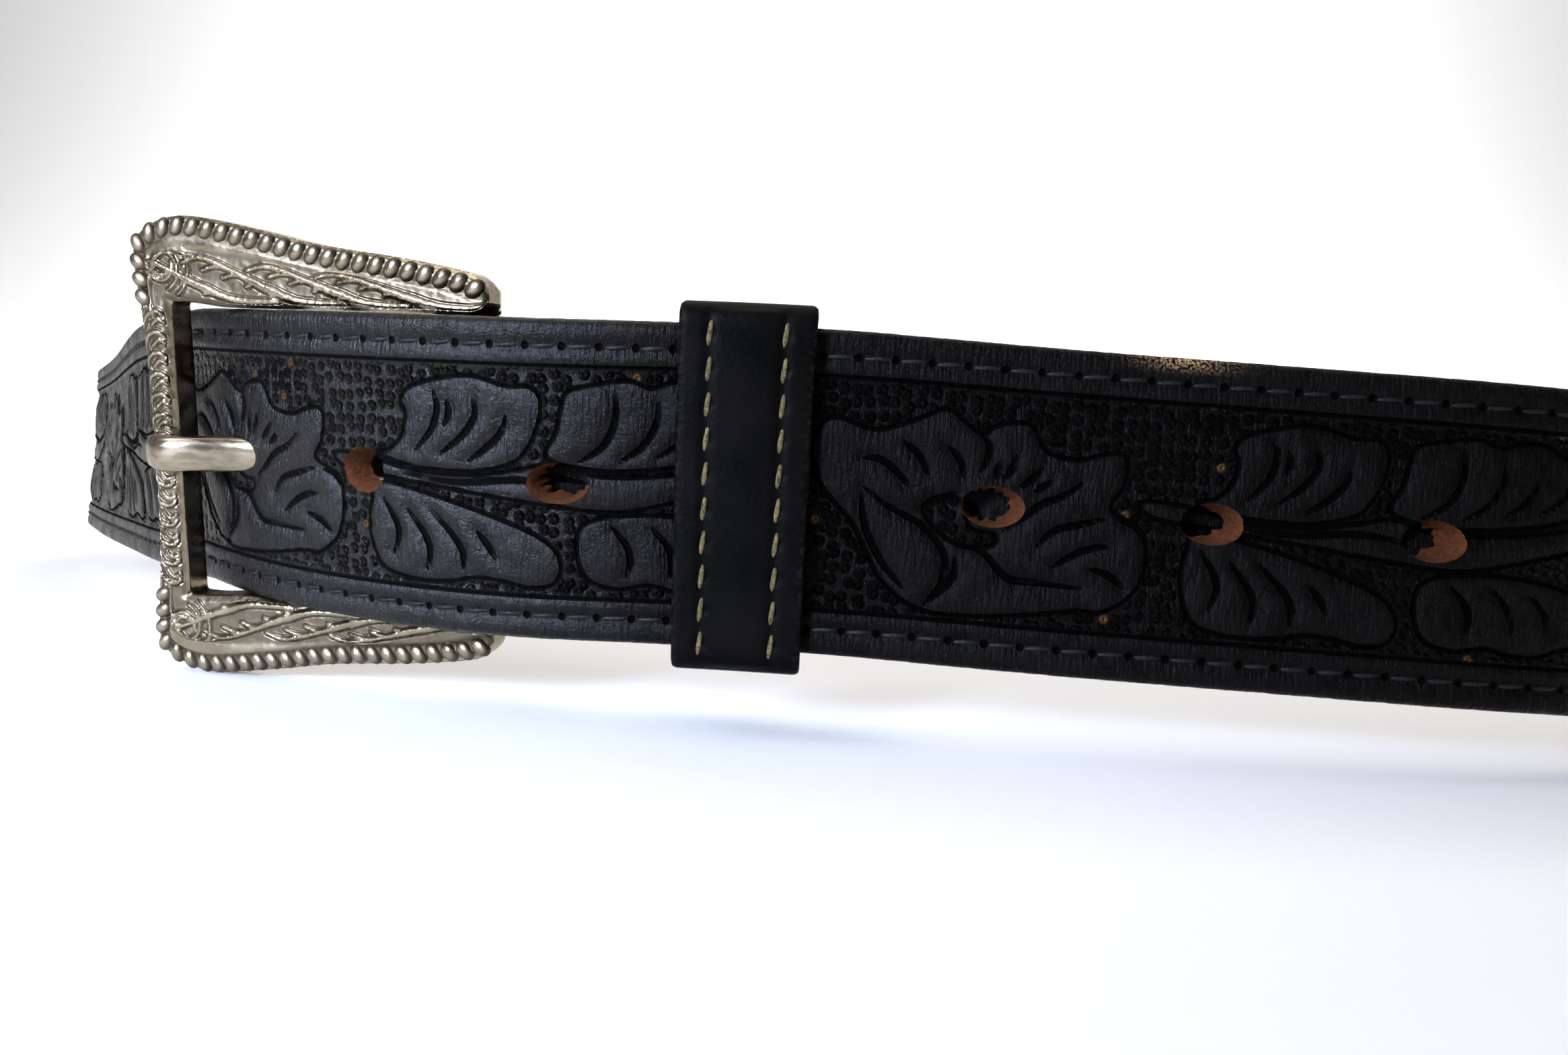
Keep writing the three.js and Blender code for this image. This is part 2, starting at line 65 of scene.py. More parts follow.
# Buckle, prong, keeper and posts
HEEL_BAR_RADIUS = 2
SIDE_CLEARANCE = 0.6
OPENING_LENGTH = 43.2
FRAME_THICK = 4.5
FRONT_BAR_WIDTH = 4.5
HEEL_OVERHANG = 3.6
ARM_WIDTH = 10.9
FRONT_EDGE_LOBE = 1.2
LOBE_ENDS_SHARE = 0.7
STRAIGHT_EDGE_SHARE = 0.55
PRONG_WIDTH = 4
PRONG_THICK = 3
PRONG_EYE_WALL = 1.5
PRONG_REACH_OVER_BAR = 0.9
PRONG_CROSSING_SHARE = 0.82
KEEPER_WIDTH = 15.4
KEEPER_WALL = 1.9
KEEPER_CORNER = 2.4
KEEPER_FROM_HEEL = 27.6
KEEPER_CLEARANCE = 0.5
POST_HEAD_RADIUS = 3.6
POST_HEAD_THICK = 1
POST_SHANK_RADIUS = 2
POST_FROM_HEEL = 21.5
POST_SPREAD = 20

# Shape of the standing loop
FRONT_TURN = math.radians(14)
FRONT_TURN_RADIUS = 66
RIGHT_RADIUS = 112
LEFT_RADIUS = 62
FAR_TURN = math.radians(12)
FAR_TURN_RADIUS = 200
NEAR_TURN = math.radians(26)
BAR_PASS_GAP = 1
BUCKLE_LEAN = math.radians(9.5)
REST_HEADING = math.radians(48)
REST_CORNER_SHARE = 0.8
LEAN_FULL_TO = 10
LEAN_GONE_AT = 80
LEAN_FADE_LEFT = 90
LEAN_DEPTH_FULL = 30
LEAN_DEPTH_GONE = 110
TANGENT_STEP = 0.01

# What the sizes above give
HALF_WIDTH = STRAP_WIDTH / 2
HALF_THICK = STRAP_THICK / 2
LAYER_PITCH = STRAP_THICK + LAYER_GAP
FOLD_RADIUS = HEEL_BAR_RADIUS + LAYER_GAP + HALF_THICK
FOLD_LENGTH = math.pi * FOLD_RADIUS
TIP_OVER_HEEL = FOLD_RADIUS + LAYER_PITCH
OPENING_HALF = HALF_WIDTH + SIDE_CLEARANCE
FRAME_LENGTH = HEEL_OVERHANG + OPENING_LENGTH + FRONT_BAR_WIDTH
PRONG_REACH = OPENING_LENGTH + PRONG_REACH_OVER_BAR * FRONT_BAR_WIDTH
PRONG_RISE = FRAME_THICK + LAYER_GAP + PRONG_THICK / 2
PASS_DROP = TIP_OVER_HEEL + HALF_THICK + BAR_PASS_GAP
NEAR_RADIUS = (OPENING_LENGTH**2 + PASS_DROP**2) / (2 * PASS_DROP)
HOLE_FROM_HEEL = NEAR_RADIUS * math.asin(PRONG_CROSSING_SHARE * OPENING_LENGTH / NEAR_RADIUS)
LOOP_LENGTH = BELT_SIZE - (HOLE_COUNT - 1) / 2 * HOLE_PITCH + HOLE_FROM_HEEL
TIP_LENGTH = (HOLE_COUNT - 1) * HOLE_PITCH + TIP_PAST_HOLES - HOLE_FROM_HEEL


# Routes in plan: each leg is (length, radius), and a straight leg has no radius

def smoothstep(value, low, high):
    share = np.clip((value - low) / (high - low), 0, 1)
    return share * share * (3 - 2 * share)


def step_along(start, leg, along):
    x, y, heading = start
    radius = leg[1]
    if radius is None:
        return x + along * np.cos(heading), y + along * np.sin(heading), heading + 0 * along
    turned = heading + along / radius
    new_x = x + radius * (np.sin(turned) - np.sin(heading))
    new_y = y - radius * (np.cos(turned) - np.cos(heading))
    return new_x, new_y, turned


def leg_end(start, leg):
    return tuple(float(value) for value in step_along(start, leg, leg[0]))


def route_at(start, legs, distance):
    """x, y and heading at each distance along a route. Its last leg has no end."""
    distance = np.asarray(distance, float)
    stations = np.zeros((3, *distance.shape))
    begin = 0.0
    for number, leg in enumerate(legs):
        end = begin + leg[0] if number < len(legs) - 1 else np.inf
        on_leg = (distance >= begin) & (distance < end)
        stations[:, on_leg] = step_along(start, leg, distance[on_leg] - begin)
        start = leg_end(start, leg)
        begin = end
    return stations


def loop_legs():
    """The loop's arcs are given. Its three straight lengths are those that close it."""
    left_heading = -(FAR_TURN + NEAR_TURN)
    left_turn = math.pi + left_heading - FRONT_TURN
    arcs = [
        (FRONT_TURN_RADIUS * FRONT_TURN, FRONT_TURN_RADIUS),
        (RIGHT_RADIUS * math.pi, RIGHT_RADIUS),
        (LEFT_RADIUS * left_turn, LEFT_RADIUS),
        (FAR_TURN_RADIUS * FAR_TURN, FAR_TURN_RADIUS),
        (NEAR_RADIUS * NEAR_TURN, NEAR_RADIUS),
    ]
    here = (0.0, 0.0, 0.0)
    for arc in arcs:
        here = leg_end(here, arc)
    missing = np.array([-here[0], -LAYER_PITCH - here[1]])
    front = np.array([math.cos(FRONT_TURN), math.sin(FRONT_TURN)])
    left = np.array([math.cos(left_heading), math.sin(left_heading)])
    left_length, front_less_back = np.linalg.solve(np.column_stack([left, front]), missing)
    straight_total = LOOP_LENGTH - sum(arc[0] for arc in arcs)
    front_length = (straight_total - left_length + front_less_back) / 2
    front_leg, back_leg, left_leg = (
        (length, None) for length in (front_length, front_length - front_less_back, left_length)
    )
    return [arcs[0], front_leg, arcs[1], back_leg, arcs[2], left_leg, arcs[3], arcs[4]]


LOOP = loop_legs()
STRAP_START = (0.0, -FOLD_RADIUS, 0.0)
TIP_START = (0.0, -TIP_OVER_HEEL, 0.0)
TIP_LEGS = [
    ((FRONT_TURN_RADIUS + LAYER_PITCH) * FRONT_TURN, FRONT_TURN_RADIUS + LAYER_PITCH),
    LOOP[1],
    ((RIGHT_RADIUS + LAYER_PITCH) * math.pi, RIGHT_RADIUS + LAYER_PITCH),
]


def tab_point(distance):
    """The tab leaves the fold a bar's width inside the strap and closes on it within a short way."""
    x, y, heading = route_at(STRAP_START, LOOP, distance)
    closed = smoothstep(distance, 0, TAB_CLOSING)
    inside = 2 * FOLD_RADIUS + (LAYER_PITCH - 2 * FOLD_RADIUS) * closed
    return x - inside * np.sin(heading), y + inside * np.cos(heading)


def strap_station(along):
    """x, y and heading of the strap's middle layer. The tab and fold lie before 0, the tip after the loop."""
    along = np.asarray(along, float)
    stations = route_at(STRAP_START, LOOP, np.clip(along, 0, LOOP_LENGTH))
    tip = along > LOOP_LENGTH
    stations[:, tip] = route_at(TIP_START, TIP_LEGS, along[tip] - LOOP_LENGTH)
    fold = (along < 0) & (along >= -FOLD_LENGTH)
    fold_leg = (FOLD_LENGTH, FOLD_RADIUS)
    stations[:, fold] = step_along((0.0, FOLD_RADIUS, math.pi), fold_leg, along[fold] + FOLD_LENGTH)
    tab = along < -FOLD_LENGTH
    distance = -FOLD_LENGTH - along[tab]
    before = tab_point(distance + TANGENT_STEP)
    after = tab_point(np.maximum(distance - TANGENT_STEP, 0))
    stations[:2, tab] = tab_point(distance)
    stations[2, tab] = np.arctan2(after[1] - before[1], after[0] - before[0])
    return stations


def leaned(x, y, z):
    """The buckle leans out at its top, and the strap takes up the lean on both sides of it."""
    front_end = -(OPENING_LENGTH + 2 * FRONT_BAR_WIDTH)
    right = 1 - smoothstep(x, LEAN_FULL_TO, LEAN_GONE_AT)
    left = smoothstep(x, front_end - LEAN_FADE_LEFT, front_end)
    depth = 1 - smoothstep(y, LEAN_DEPTH_FULL, LEAN_DEPTH_GONE)
    lean = BUCKLE_LEAN * right * left * depth
    new_y = y * np.cos(lean) - z * np.sin(lean)
    new_z = z * np.cos(lean) + np.minimum(y, HEEL_BAR_RADIUS) * np.sin(lean)
    return np.column_stack([x, new_y, new_z])


def rest_tilt():
    """The angle of the strap's edge to the floor, which the frame's lower corner and the far edge share."""
    start = [float(value[0]) for value in route_at(STRAP_START, LOOP, [LOOP[0][0] + LOOP[1][0]])]
    centre_x = start[0] - RIGHT_RADIUS * math.sin(start[2])
    centre_y = start[1] + RIGHT_RADIUS * math.cos(start[2])
    away = REST_HEADING + FRONT_TURN
    corner_x = centre_x + REST_CORNER_SHARE * OPENING_LENGTH
    span = corner_x * math.cos(away) + centre_y * math.sin(away) + RIGHT_RADIUS
    drop = OPENING_HALF + ARM_WIDTH - HALF_WIDTH
    return math.atan2(drop, span)


def rest_matrix():
    turn = np.array([
        [math.cos(FRONT_TURN), math.sin(FRONT_TURN), 0],
        [-math.sin(FRONT_TURN), math.cos(FRONT_TURN), 0],
        [0, 0, 1],
    ])
    axis_x = -math.sin(REST_HEADING)
    axis_y = math.cos(REST_HEADING)
    across = np.array([[0, 0, axis_y], [0, 0, -axis_x], [-axis_y, axis_x, 0]])
    tilt = rest_tilt()
    tip = np.eye(3) + math.sin(tilt) * across + (1 - math.cos(tilt)) * across @ across
    return tip @ turn


REST = rest_matrix()


def on_strap(along, out, up):
    """Points of the model, from the way along the strap, out from its middle layer and up from its middle."""
    x, y, heading = strap_station(along)
    return leaned(x + out * np.sin(heading), y - out * np.cos(heading), up) @ REST.T


def strap_shift():
    """What carries the form's own zero to the frame's: the CAD strap's box says where the strap lies."""
    along = np.linspace(0, LOOP_LENGTH, 6001)
    sides = [(out, up) for out in (-1, 1) for up in (-1, 1)]
    corners = [(out * HALF_THICK, up * (HALF_WIDTH - STRAP_CHAMFER)) for out, up in sides]
    corners += [(out * (HALF_THICK - STRAP_CHAMFER), up * HALF_WIDTH) for out, up in sides]
    points = np.vstack([on_strap(along, out, up + 0 * along) for out, up in corners])
    low, high = (np.array(corner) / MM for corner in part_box("strap"))
    return np.array([
        (low[0] + high[0] - points[:, 0].min() - points[:, 0].max()) / 2,
        high[1] - points[:, 1].max(),
        low[2] - points[:, 2].min(),
    ])


SHIFT = strap_shift()


def settled(model_points):
    return (model_points + SHIFT) * MM


# Working with meshes

def deselect():
    bpy.ops.object.select_all(action="DESELECT")


def active():
    return bpy.context.view_layer.objects.active


def make_active(obj):
    deselect()
    obj.select_set(True)
    bpy.context.view_layer.objects.active = obj


def coordinates(obj):
    points = np.empty(len(obj.data.vertices) * 3)
    obj.data.vertices.foreach_get("co", points)
    return points.reshape(-1, 3)


def set_coordinates(obj, points):
    obj.data.vertices.foreach_set("co", np.ascontiguousarray(points, float).ravel())
    obj.data.update()


def edit(*steps):
    """Runs edit-mode steps on all of the active mesh."""
    bpy.ops.object.mode_set(mode="EDIT")
    bpy.ops.mesh.select_all(action="SELECT")
    for step in steps:
        step()
    bpy.ops.object.mode_set(mode="OBJECT")


def edit_part(obj, kind, wanted, step):
    """Runs an edit-mode step on a mesh's edges or faces that are wanted, and on no others."""
    make_active(obj)
    bpy.ops.object.mode_set(mode="EDIT")
    bpy.ops.mesh.select_mode(type=kind)
    bpy.ops.mesh.select_all(action="DESELECT")
    bpy.ops.object.mode_set(mode="OBJECT")
    for part in obj.data.edges if kind == "EDGE" else obj.data.polygons:
        part.select = bool(wanted(part))
    bpy.ops.object.mode_set(mode="EDIT")
    step()
    bpy.ops.object.mode_set(mode="OBJECT")


def cut_across(obj, axis, cuts):
    """Subdivides the edges that run from end to end of a body that is centred on its axis."""
    ends = coordinates(obj)[:, axis]
    edit_part(
        obj, "EDGE", lambda edge: ends[edge.vertices[0]] * ends[edge.vertices[1]] < 0,
        lambda: bpy.ops.mesh.subdivide(number_cuts=cuts),
    )


def merge_close(distance):
    return lambda: bpy.ops.mesh.remove_doubles(threshold=distance)


def face_outwards():
    bpy.ops.mesh.normals_make_consistent(inside=False)


def bake_place(obj):
    make_active(obj)
    bpy.ops.object.transform_apply(location=True, rotation=True, scale=True)
    return obj


def new_shape(add_primitive, **settings):
    """A primitive of Blender's own, with its place in its mesh."""
    deselect()
    add_primitive(**settings)
    return bake_place(active())


def apply_modifier(obj, kind, **settings):
    make_active(obj)
    modifier = obj.modifiers.new(kind.title(), kind)
    for name, value in settings.items():
        setattr(modifier, name, value)
    bpy.ops.object.modifier_apply(modifier=modifier.name)
    return obj


def named(obj, name):
    obj.name = name
    obj.data.name = name
    return obj


def joined(objects, name):
    make_active(objects[0])
    for obj in objects:
        obj.select_set(True)
    bpy.ops.object.join()
    return named(active(), name)


def smooth(obj, degrees):
    make_active(obj)
    bpy.ops.object.shade_smooth_by_angle(angle=math.radians(degrees))
    return obj


def set_attributes(obj, **fields):
    """Stores fields on the mesh's vertices, for its material to read."""
    for name, values in fields.items():
        attribute = obj.data.attributes.new(name, "FLOAT", "POINT")
        attribute.data.foreach_set("value", np.ascontiguousarray(values, np.float32))


def finish_piece(obj, node, material=None):
    if material:
        obj.data.materials.clear()
        obj.data.materials.append(material)
    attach(obj, "root")
    if node:
        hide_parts(node)


# Drawing the tooling: curves in millimetres along and across the strap

def smooth_line(points, closed=False, per_span=6):
    """A rounded line through a few points."""
    points = np.asarray(points, float)
    if closed:
        padded = np.vstack([points[-1], points, points[0], points[1]])
    else:
        padded = np.vstack([2 * points[0] - points[1], points, 2 * points[-1] - points[-2]])
    line = []
    for a, b, c, d in zip(padded, padded[1:], padded[2:], padded[3:]):
        for share in np.arange(per_span) / per_span:
            squared = (2 * a - 5 * b + 4 * c - d) * share**2
            cubed = (3 * b - a - 3 * c + d) * share**3
            line.append(0.5 * (2 * b + (c - a) * share + squared + cubed))
    line.append(padded[-2])
    return np.array(line)


def bell(distance, width):
    """One at no distance, and almost nothing two widths away."""
    return np.exp(-((distance / width) ** 2))


def blunted(value, power):
    """A value between -1 and 1 moved out towards them, which squares up a round shape."""
    return np.sign(value) * np.abs(value) ** power


def near(x, y, line, margin):
    low = line.min(axis=0) - margin
    high = line.max(axis=0) + margin
    return np.flatnonzero((x > low[0]) & (x < high[0]) & (y > low[1]) & (y < high[1]))


def distance_to_line(x, y, line):
    """Distance to a line of points, and the share of the way along it at the nearest place."""
    best = np.full(x.shape, np.inf)
    share = np.zeros(x.shape)
    for number, (a, b) in enumerate(zip(line, line[1:])):
        run = b - a
        length = max(float(run @ run), 1e-12)
        t = np.clip(((x - a[0]) * run[0] + (y - a[1]) * run[1]) / length, 0, 1)
        distance = np.hypot(x - a[0] - t * run[0], y - a[1] - t * run[1])
        closer = distance < best
        best[closer] = distance[closer]
        share[closer] = (number + t[closer]) / (len(line) - 1)
    return best, share


def inside_line(x, y, line):
    crossings = np.zeros(x.shape, bool)
    for (ax, ay), (bx, by) in zip(line, np.roll(line, -1, axis=0)):
        if ay != by:
            spans = (ay > y) != (by > y)
            crossings ^= spans & (x < ax + (y - ay) * (bx - ax) / (by - ay))
    return crossings


def even_noise(x, y, scale, seed):
    """Smooth unevenness between -1 and 1, from a few crossed waves."""
    waves = np.random.default_rng(seed)
    wave_count = 6
    total = np.zeros(x.shape)
    for _ in range(wave_count):
        angle = waves.uniform(0, math.pi)
        length = scale * waves.uniform(0.6, 1.6)
        phase = waves.uniform(0, 2 * math.pi)
        total += np.sin(2 * math.pi * (x * math.cos(angle) + y * math.sin(angle)) / length + phase)
    return total / wave_count


# The pattern's repeat, from one flower to the next, as ways along from the flower and up from the middle
REPEAT = 97.5
REPEAT_FROM = -26.0
FIRST_FLOWER = -32.2

MOTIF = {
    "flower": [
        (-18.8, -0.4), (-20.8, 2.4), (-21.4, 5.8), (-20.2, 8.4), (-18.2, 9.0), (-14.3, 7.9), (-11.1, 8.7),
        (-8.4, 9.9), (-6.0, 10.9), (-3.6, 9.4), (-1.7, 8.3), (-0.6, 9.2), (1.4, 9.9), (3.8, 9.8), (5.3, 7.4),
        (6.8, 6.5), (9.8, 6.3), (12.3, 7.1), (14.7, 7.3), (15.2, 5.5), (14.7, 3.1), (13.6, 0.9), (16.9, -0.9),
        (17.9, -2.6), (18.1, -5.3), (16.9, -8.7), (13.6, -11.1), (10.7, -11.2), (5.3, -12.1), (-0.6, -12.8),
        (-5.7, -12.9), (-8.7, -12.2), (-10.4, -11.2), (-12.6, -9.2), (-14.6, -5.8), (-16.3, -2.9),
    ],
    "leaf_near_top": [
        (23.4, 2.4), (25.4, 3.0), (27.1, 4.6), (27.8, 7.2), (27.2, 9.0), (28.6, 10.6), (32.7, 11.8),
        (36.7, 12.2), (40.6, 11.2), (43.5, 11.2), (44.8, 9.9), (44.6, 7.0), (43.3, 4.0), (41.3, 2.1),
        (36.2, 0.9), (29.0, 1.0),
    ],
    "leaf_near_low": [
        (24.0, -1.0), (22.6, -3.2), (22.2, -7.2), (23.6, -11.2), (26.5, -12.5), (30.0, -12.8), (33.5, -12.6),
        (36.8, -11.9), (40.2, -12.1), (43.5, -12.7), (46.4, -12.0), (47.2, -9.4), (45.4, -6.9), (40.6, -4.8),
        (32.7, -2.5),
    ],
    "leaf_far_top": [
        (45.6, 2.9), (46.6, 6.0), (47.2, 9.0), (48.0, 10.8), (51.4, 11.7), (55.0, 12.2), (57.6, 11.4),
        (60.2, 12.2), (63.4, 12.0), (65.4, 10.9), (68.2, 11.1), (70.2, 9.4), (70.2, 6.4), (67.0, 3.8),
        (60.0, 2.2), (52.0, 1.6),
    ],
    "leaf_far_low": [
        (50.0, -4.6), (49.0, -8.0), (50.4, -11.4), (54.0, -12.4), (57.6, -11.8), (60.6, -12.4), (64.0, -12.4),
        (67.0, -11.4), (69.6, -11.0), (71.2, -8.6), (69.4, -5.6), (64.0, -3.8), (56.0, -3.4),
    ],
    "stem": [
        (17.0, 2.0), (22.0, 1.9), (29.0, 0.5), (36.0, 0.4), (42.0, 1.4), (46.0, 2.2), (52.0, 1.0),
        (60.0, 1.4), (68.0, 2.8), (75.0, 4.6), (76.0, 3.2), (69.0, 0.6), (62.0, -1.4), (54.0, -3.2),
        (46.0, -2.7), (34.0, -1.4), (25.0, -0.5), (18.5, 0.2),
    ],
}
FLOWER_EYE = [
    (-8.0, -0.8), (-5.6, 0.5), (-3.6, 0.4), (-2.4, -2.6), (0.6, -3.1), (0.0, -4.6), (-3.4, -4.7),
    (-6.0, -3.4),
]
CUTS = [
    [(-1.7, 8.2), (-0.9, 6.9), (-1.1, 5.2), (-1.9, 3.9)],
    [(0.4, 5.4), (0.1, 3.4)],
    [(2.3, 6.2), (1.9, 4.6), (1.0, 3.2)],
    [(5.4, 4.9), (4.2, 3.6), (3.0, 2.5)],
    [(6.6, 3.6), (4.6, 2.0)],
    [(10.2, 3.7), (8.1, 2.0), (5.6, 0.8), (3.8, -0.8), (1.4, -2.6)],
    [(13.2, -0.3), (10.1, -1.2), (7.2, -2.2), (5.3, -4.2)],
    [(14.0, -3.3), (10.7, -4.2), (7.4, -6.3)],
    [(14.3, -0.2), (16.6, -0.8), (17.6, -2.2)],
    [(11.7, -6.2), (13.9, -6.8), (15.7, -8.1)],
    [(-3.4, -4.6), (-0.7, -5.3), (0.9, -6.9), (2.6, -8.2), (5.4, -8.3), (10.8, -8.6)],
    [(-15.1, 1.2), (-11.7, -1.1), (-8.1, -2.7), (-5.8, -4.9), (-5.0, -6.9), (-5.5, -9.6), (-7.2, -12.0)],
    [(-15.4, 0.8), (-14.7, -3.2), (-12.6, -7.2), (-9.8, -10.2)],
    [(-3.9, -6.2), (-4.1, -8.7), (-6.4, -11.4)],
    [(-15.4, 4.6), (-13.4, 4.5), (-11.5, 3.3), (-9.7, 1.5)],
    [(-10.7, 6.7), (-9.0, 5.4), (-7.7, 3.1)],
    [(-8.4, -0.8), (-6.6, 0.4), (-4.2, 1.3)],
    [(-5.6, 6.6), (-4.2, 5.2), (-3.6, 3.2)],
    [(31.6, 10.2), (32.1, 8.1), (31.2, 5.5), (28.9, 2.9)],
    [(33.4, 9.2), (33.6, 7.6), (33.0, 6.2)],
    [(36.7, 9.7), (36.9, 7.5), (35.3, 5.1), (32.4, 2.8)],
    [(40.8, 7.9), (40.0, 5.6), (38.0, 3.6), (36.0, 2.2)],
    [(24.2, -3.0), (26.1, -5.9), (26.4, -7.7), (25.6, -9.9)],
    [(27.7, -4.2), (30.1, -7.1), (30.8, -9.2), (30.3, -11.4)],
    [(31.0, -4.1), (34.0, -7.0), (35.2, -9.1), (35.1, -10.9)],
    [(37.0, -6.2), (38.2, -7.6), (39.2, -9.3)],
    [(53.4, 10.9), (53.4, 7.5), (52.0, 4.5), (49.2, 2.6)],
    [(58.4, 10.0), (58.2, 7.4), (56.6, 4.6), (54.0, 2.8)],
    [(62.8, 10.2), (62.5, 7.6), (61.0, 5.2), (58.4, 3.4)],
    [(66.9, 9.4), (66.4, 7.2), (65.0, 5.4), (62.6, 4.0)],
    [(53.2, -5.0), (55.0, -7.2), (55.4, -9.0), (55.0, -10.8)],
    [(57.8, -4.8), (59.8, -7.0), (60.4, -9.0), (60.1, -11.0)],
    [(62.4, -5.2), (64.4, -7.2), (65.0, -9.0), (64.8, -10.6)],
    [(27.0, 0.2), (34.0, -0.5), (42.0, 0.2), (48.0, -0.4)],
]

# Depths and widths of the tool marks
GROUND_DEPTH = 0.5
BEVEL_WIDTH = 0.55
PILLOW_DEPTH = 0.28
PILLOW_WIDTH = 1.6
OUTLINE_DEPTH = 0.25
OUTLINE_WIDTH = 0.35
CUT_DEPTH = 0.4
CUT_HALF_WIDTH = 0.38
CUT_SLOPE = 0.95
CUT_TAPER = 0.7
BORDER_LINE = 13.6
BORDER_FADE = 0.6
BORDER_WIDTH = 0.4
STITCH_LINE = 15.9
STITCH_GROOVE_DEPTH = 0.3
STITCH_GROOVE_WIDTH = 0.7
FAR_AWAY = 3.0


def motif_at(repeat, across):
    """Whether each point is within a raised shape of the motif, and its distance to the nearest outline."""
    inside = np.zeros(repeat.shape, bool)
    to_outline = np.full(repeat.shape, FAR_AWAY)
    for points in (*MOTIF.values(), FLOWER_EYE):
        line = smooth_line(points, closed=True)
        picked = near(repeat, across, line, FAR_AWAY)
        x = repeat[picked]
        y = across[picked]
        within = inside_line(x, y, line)
        inside[picked] = inside[picked] & ~within if points is FLOWER_EYE else inside[picked] | within
        to_outline[picked] = np.minimum(to_outline[picked], distance_to_line(x, y, line)[0])
    return inside, to_outline


def distance_to_cuts(repeat, across):
    """Distance to the edge of the nearest knife cut, each of which narrows to both of its ends."""
    to_cut = np.full(repeat.shape, FAR_AWAY)
    for points in CUTS:
        line = smooth_line(points)
        picked = near(repeat, across, line, FAR_AWAY)
        distance, share = distance_to_line(repeat[picked], across[picked], line)
        taper = np.sin(math.pi * np.clip(0.06 + 0.86 * share, 0, 1)) ** CUT_TAPER
        to_cut[picked] = np.minimum(to_cut[picked], distance - CUT_HALF_WIDTH * taper)
    return to_cut


def tooling(along, across, edge_across, spacing):
    """The tooled face in fields: its height, its matted ground, and millimetres to the outlines and cuts."""
    repeat = (along - LOOP_LENGTH - FIRST_FLOWER - REPEAT_FROM) % REPEAT + REPEAT_FROM
    inside, to_outline = motif_at(repeat, across)
    to_cut = distance_to_cuts(repeat, across)
    to_border = BORDER_LINE - np.abs(edge_across)
    within_border = 1 - smoothstep(-to_border, -BORDER_FADE, 0)
    ground = np.where(inside, 0, smoothstep(to_outline, 0, BEVEL_WIDTH)) * within_border
    outline = bell(to_outline, np.maximum(OUTLINE_WIDTH, 0.6 * spacing)) * within_border
    into_cut = np.maximum(to_cut + CUT_HALF_WIDTH, 0)
    cut = bell(into_cut, np.maximum(CUT_SLOPE, 0.7 * spacing)) * within_border
    border = bell(to_border, BORDER_WIDTH)
    stitch_groove = bell(np.abs(edge_across) - STITCH_LINE, STITCH_GROOVE_WIDTH)
    height = -GROUND_DEPTH * ground - OUTLINE_DEPTH * np.maximum(outline, border) - CUT_DEPTH * cut
    height -= STITCH_GROOVE_DEPTH * stitch_groove
    height -= PILLOW_DEPTH * inside * np.exp(-to_outline / PILLOW_WIDTH)
    return {
        "height": height,
        "ground": ground,
        "to_outline": np.where(inside, to_outline, -to_outline),
        "to_cut": to_cut + FAR_AWAY * (1 - within_border),
    }


# The strap's mesh, drawn flat: x is the way along, y across and z out. Its columns are closest in front.

STRAP_COLUMNS = [
    {"to": -FOLD_LENGTH, "step": 1.6},
    {"to": 0, "step": 0.8},
    {"to": TIP_LENGTH - 12, "step": 3.2},
    {"to": LOOP_LENGTH - 130, "step": 2.2},
    {"to": LOOP_LENGTH - 50, "step": 0.8},
    {"to": LOOP_LENGTH + 122, "step": 0.45},
    {"to": LOOP_LENGTH + TIP_LENGTH - TIP_ROUNDING, "step": 0.8},
]
TIP_COLUMNS = 34
FACE_ROWS = 80
EDGE_RADIUS = 1.15


def strap_columns():
    columns = [-FOLD_LENGTH - TAB_LENGTH]
    for region in STRAP_COLUMNS:
        count = math.ceil((region["to"] - columns[-1]) / region["step"])
        columns += list(np.linspace(columns[-1], region["to"], count + 1)[1:])
    quarter = np.linspace(0, math.pi / 2, TIP_COLUMNS + 1)[1:]
    return np.array(columns + list(LOOP_LENGTH + TIP_LENGTH - TIP_ROUNDING + TIP_ROUNDING * np.sin(quarter)))


def strap_section():
    """Across and out of the section's outline: fine over the tooled face, plain over the rest."""
    flat_half = HALF_WIDTH - EDGE_RADIUS
    side_half = HALF_THICK - EDGE_RADIUS

    def corner(across_side, out_side, *degrees):
        return [
            (across_side * flat_half + EDGE_RADIUS * math.cos(math.radians(angle)),
             out_side * side_half + EDGE_RADIUS * math.sin(math.radians(angle)))
            for angle in degrees
        ]

    section = [(across, HALF_THICK) for across in np.linspace(flat_half, -flat_half, FACE_ROWS + 1)]
    section += corner(-1, 1, 120, 150, 180) + corner(-1, -1, 180, 210, 240)
    section += [(share * flat_half, -HALF_THICK) for share in (-1, -0.33, 0.33, 1)]
    section += corner(1, -1, 300, 330, 360) + corner(1, 1, 0, 30, 60)
    return np.array(section + section[:1])


def half_width_share(along):
    """The strap's half width as a share of its full one, which rounds in to a blunt point at the tip."""
    into = np.clip(1 - (LOOP_LENGTH + TIP_LENGTH - along) / TIP_ROUNDING, 0, 1)
    return TIP_BLUNT_SHARE + (1 - TIP_BLUNT_SHARE) * np.sqrt(1 - into**2)


def close_open_ends():
    bpy.ops.mesh.select_all(action="DESELECT")
    bpy.ops.mesh.select_mode(type="EDGE")
    bpy.ops.mesh.select_non_manifold(
        extend=False, use_wire=False, use_boundary=True, use_multi_face=False, use_non_contiguous=False,
        use_verts=False,
    )
    bpy.ops.mesh.fill_holes(sides=0)


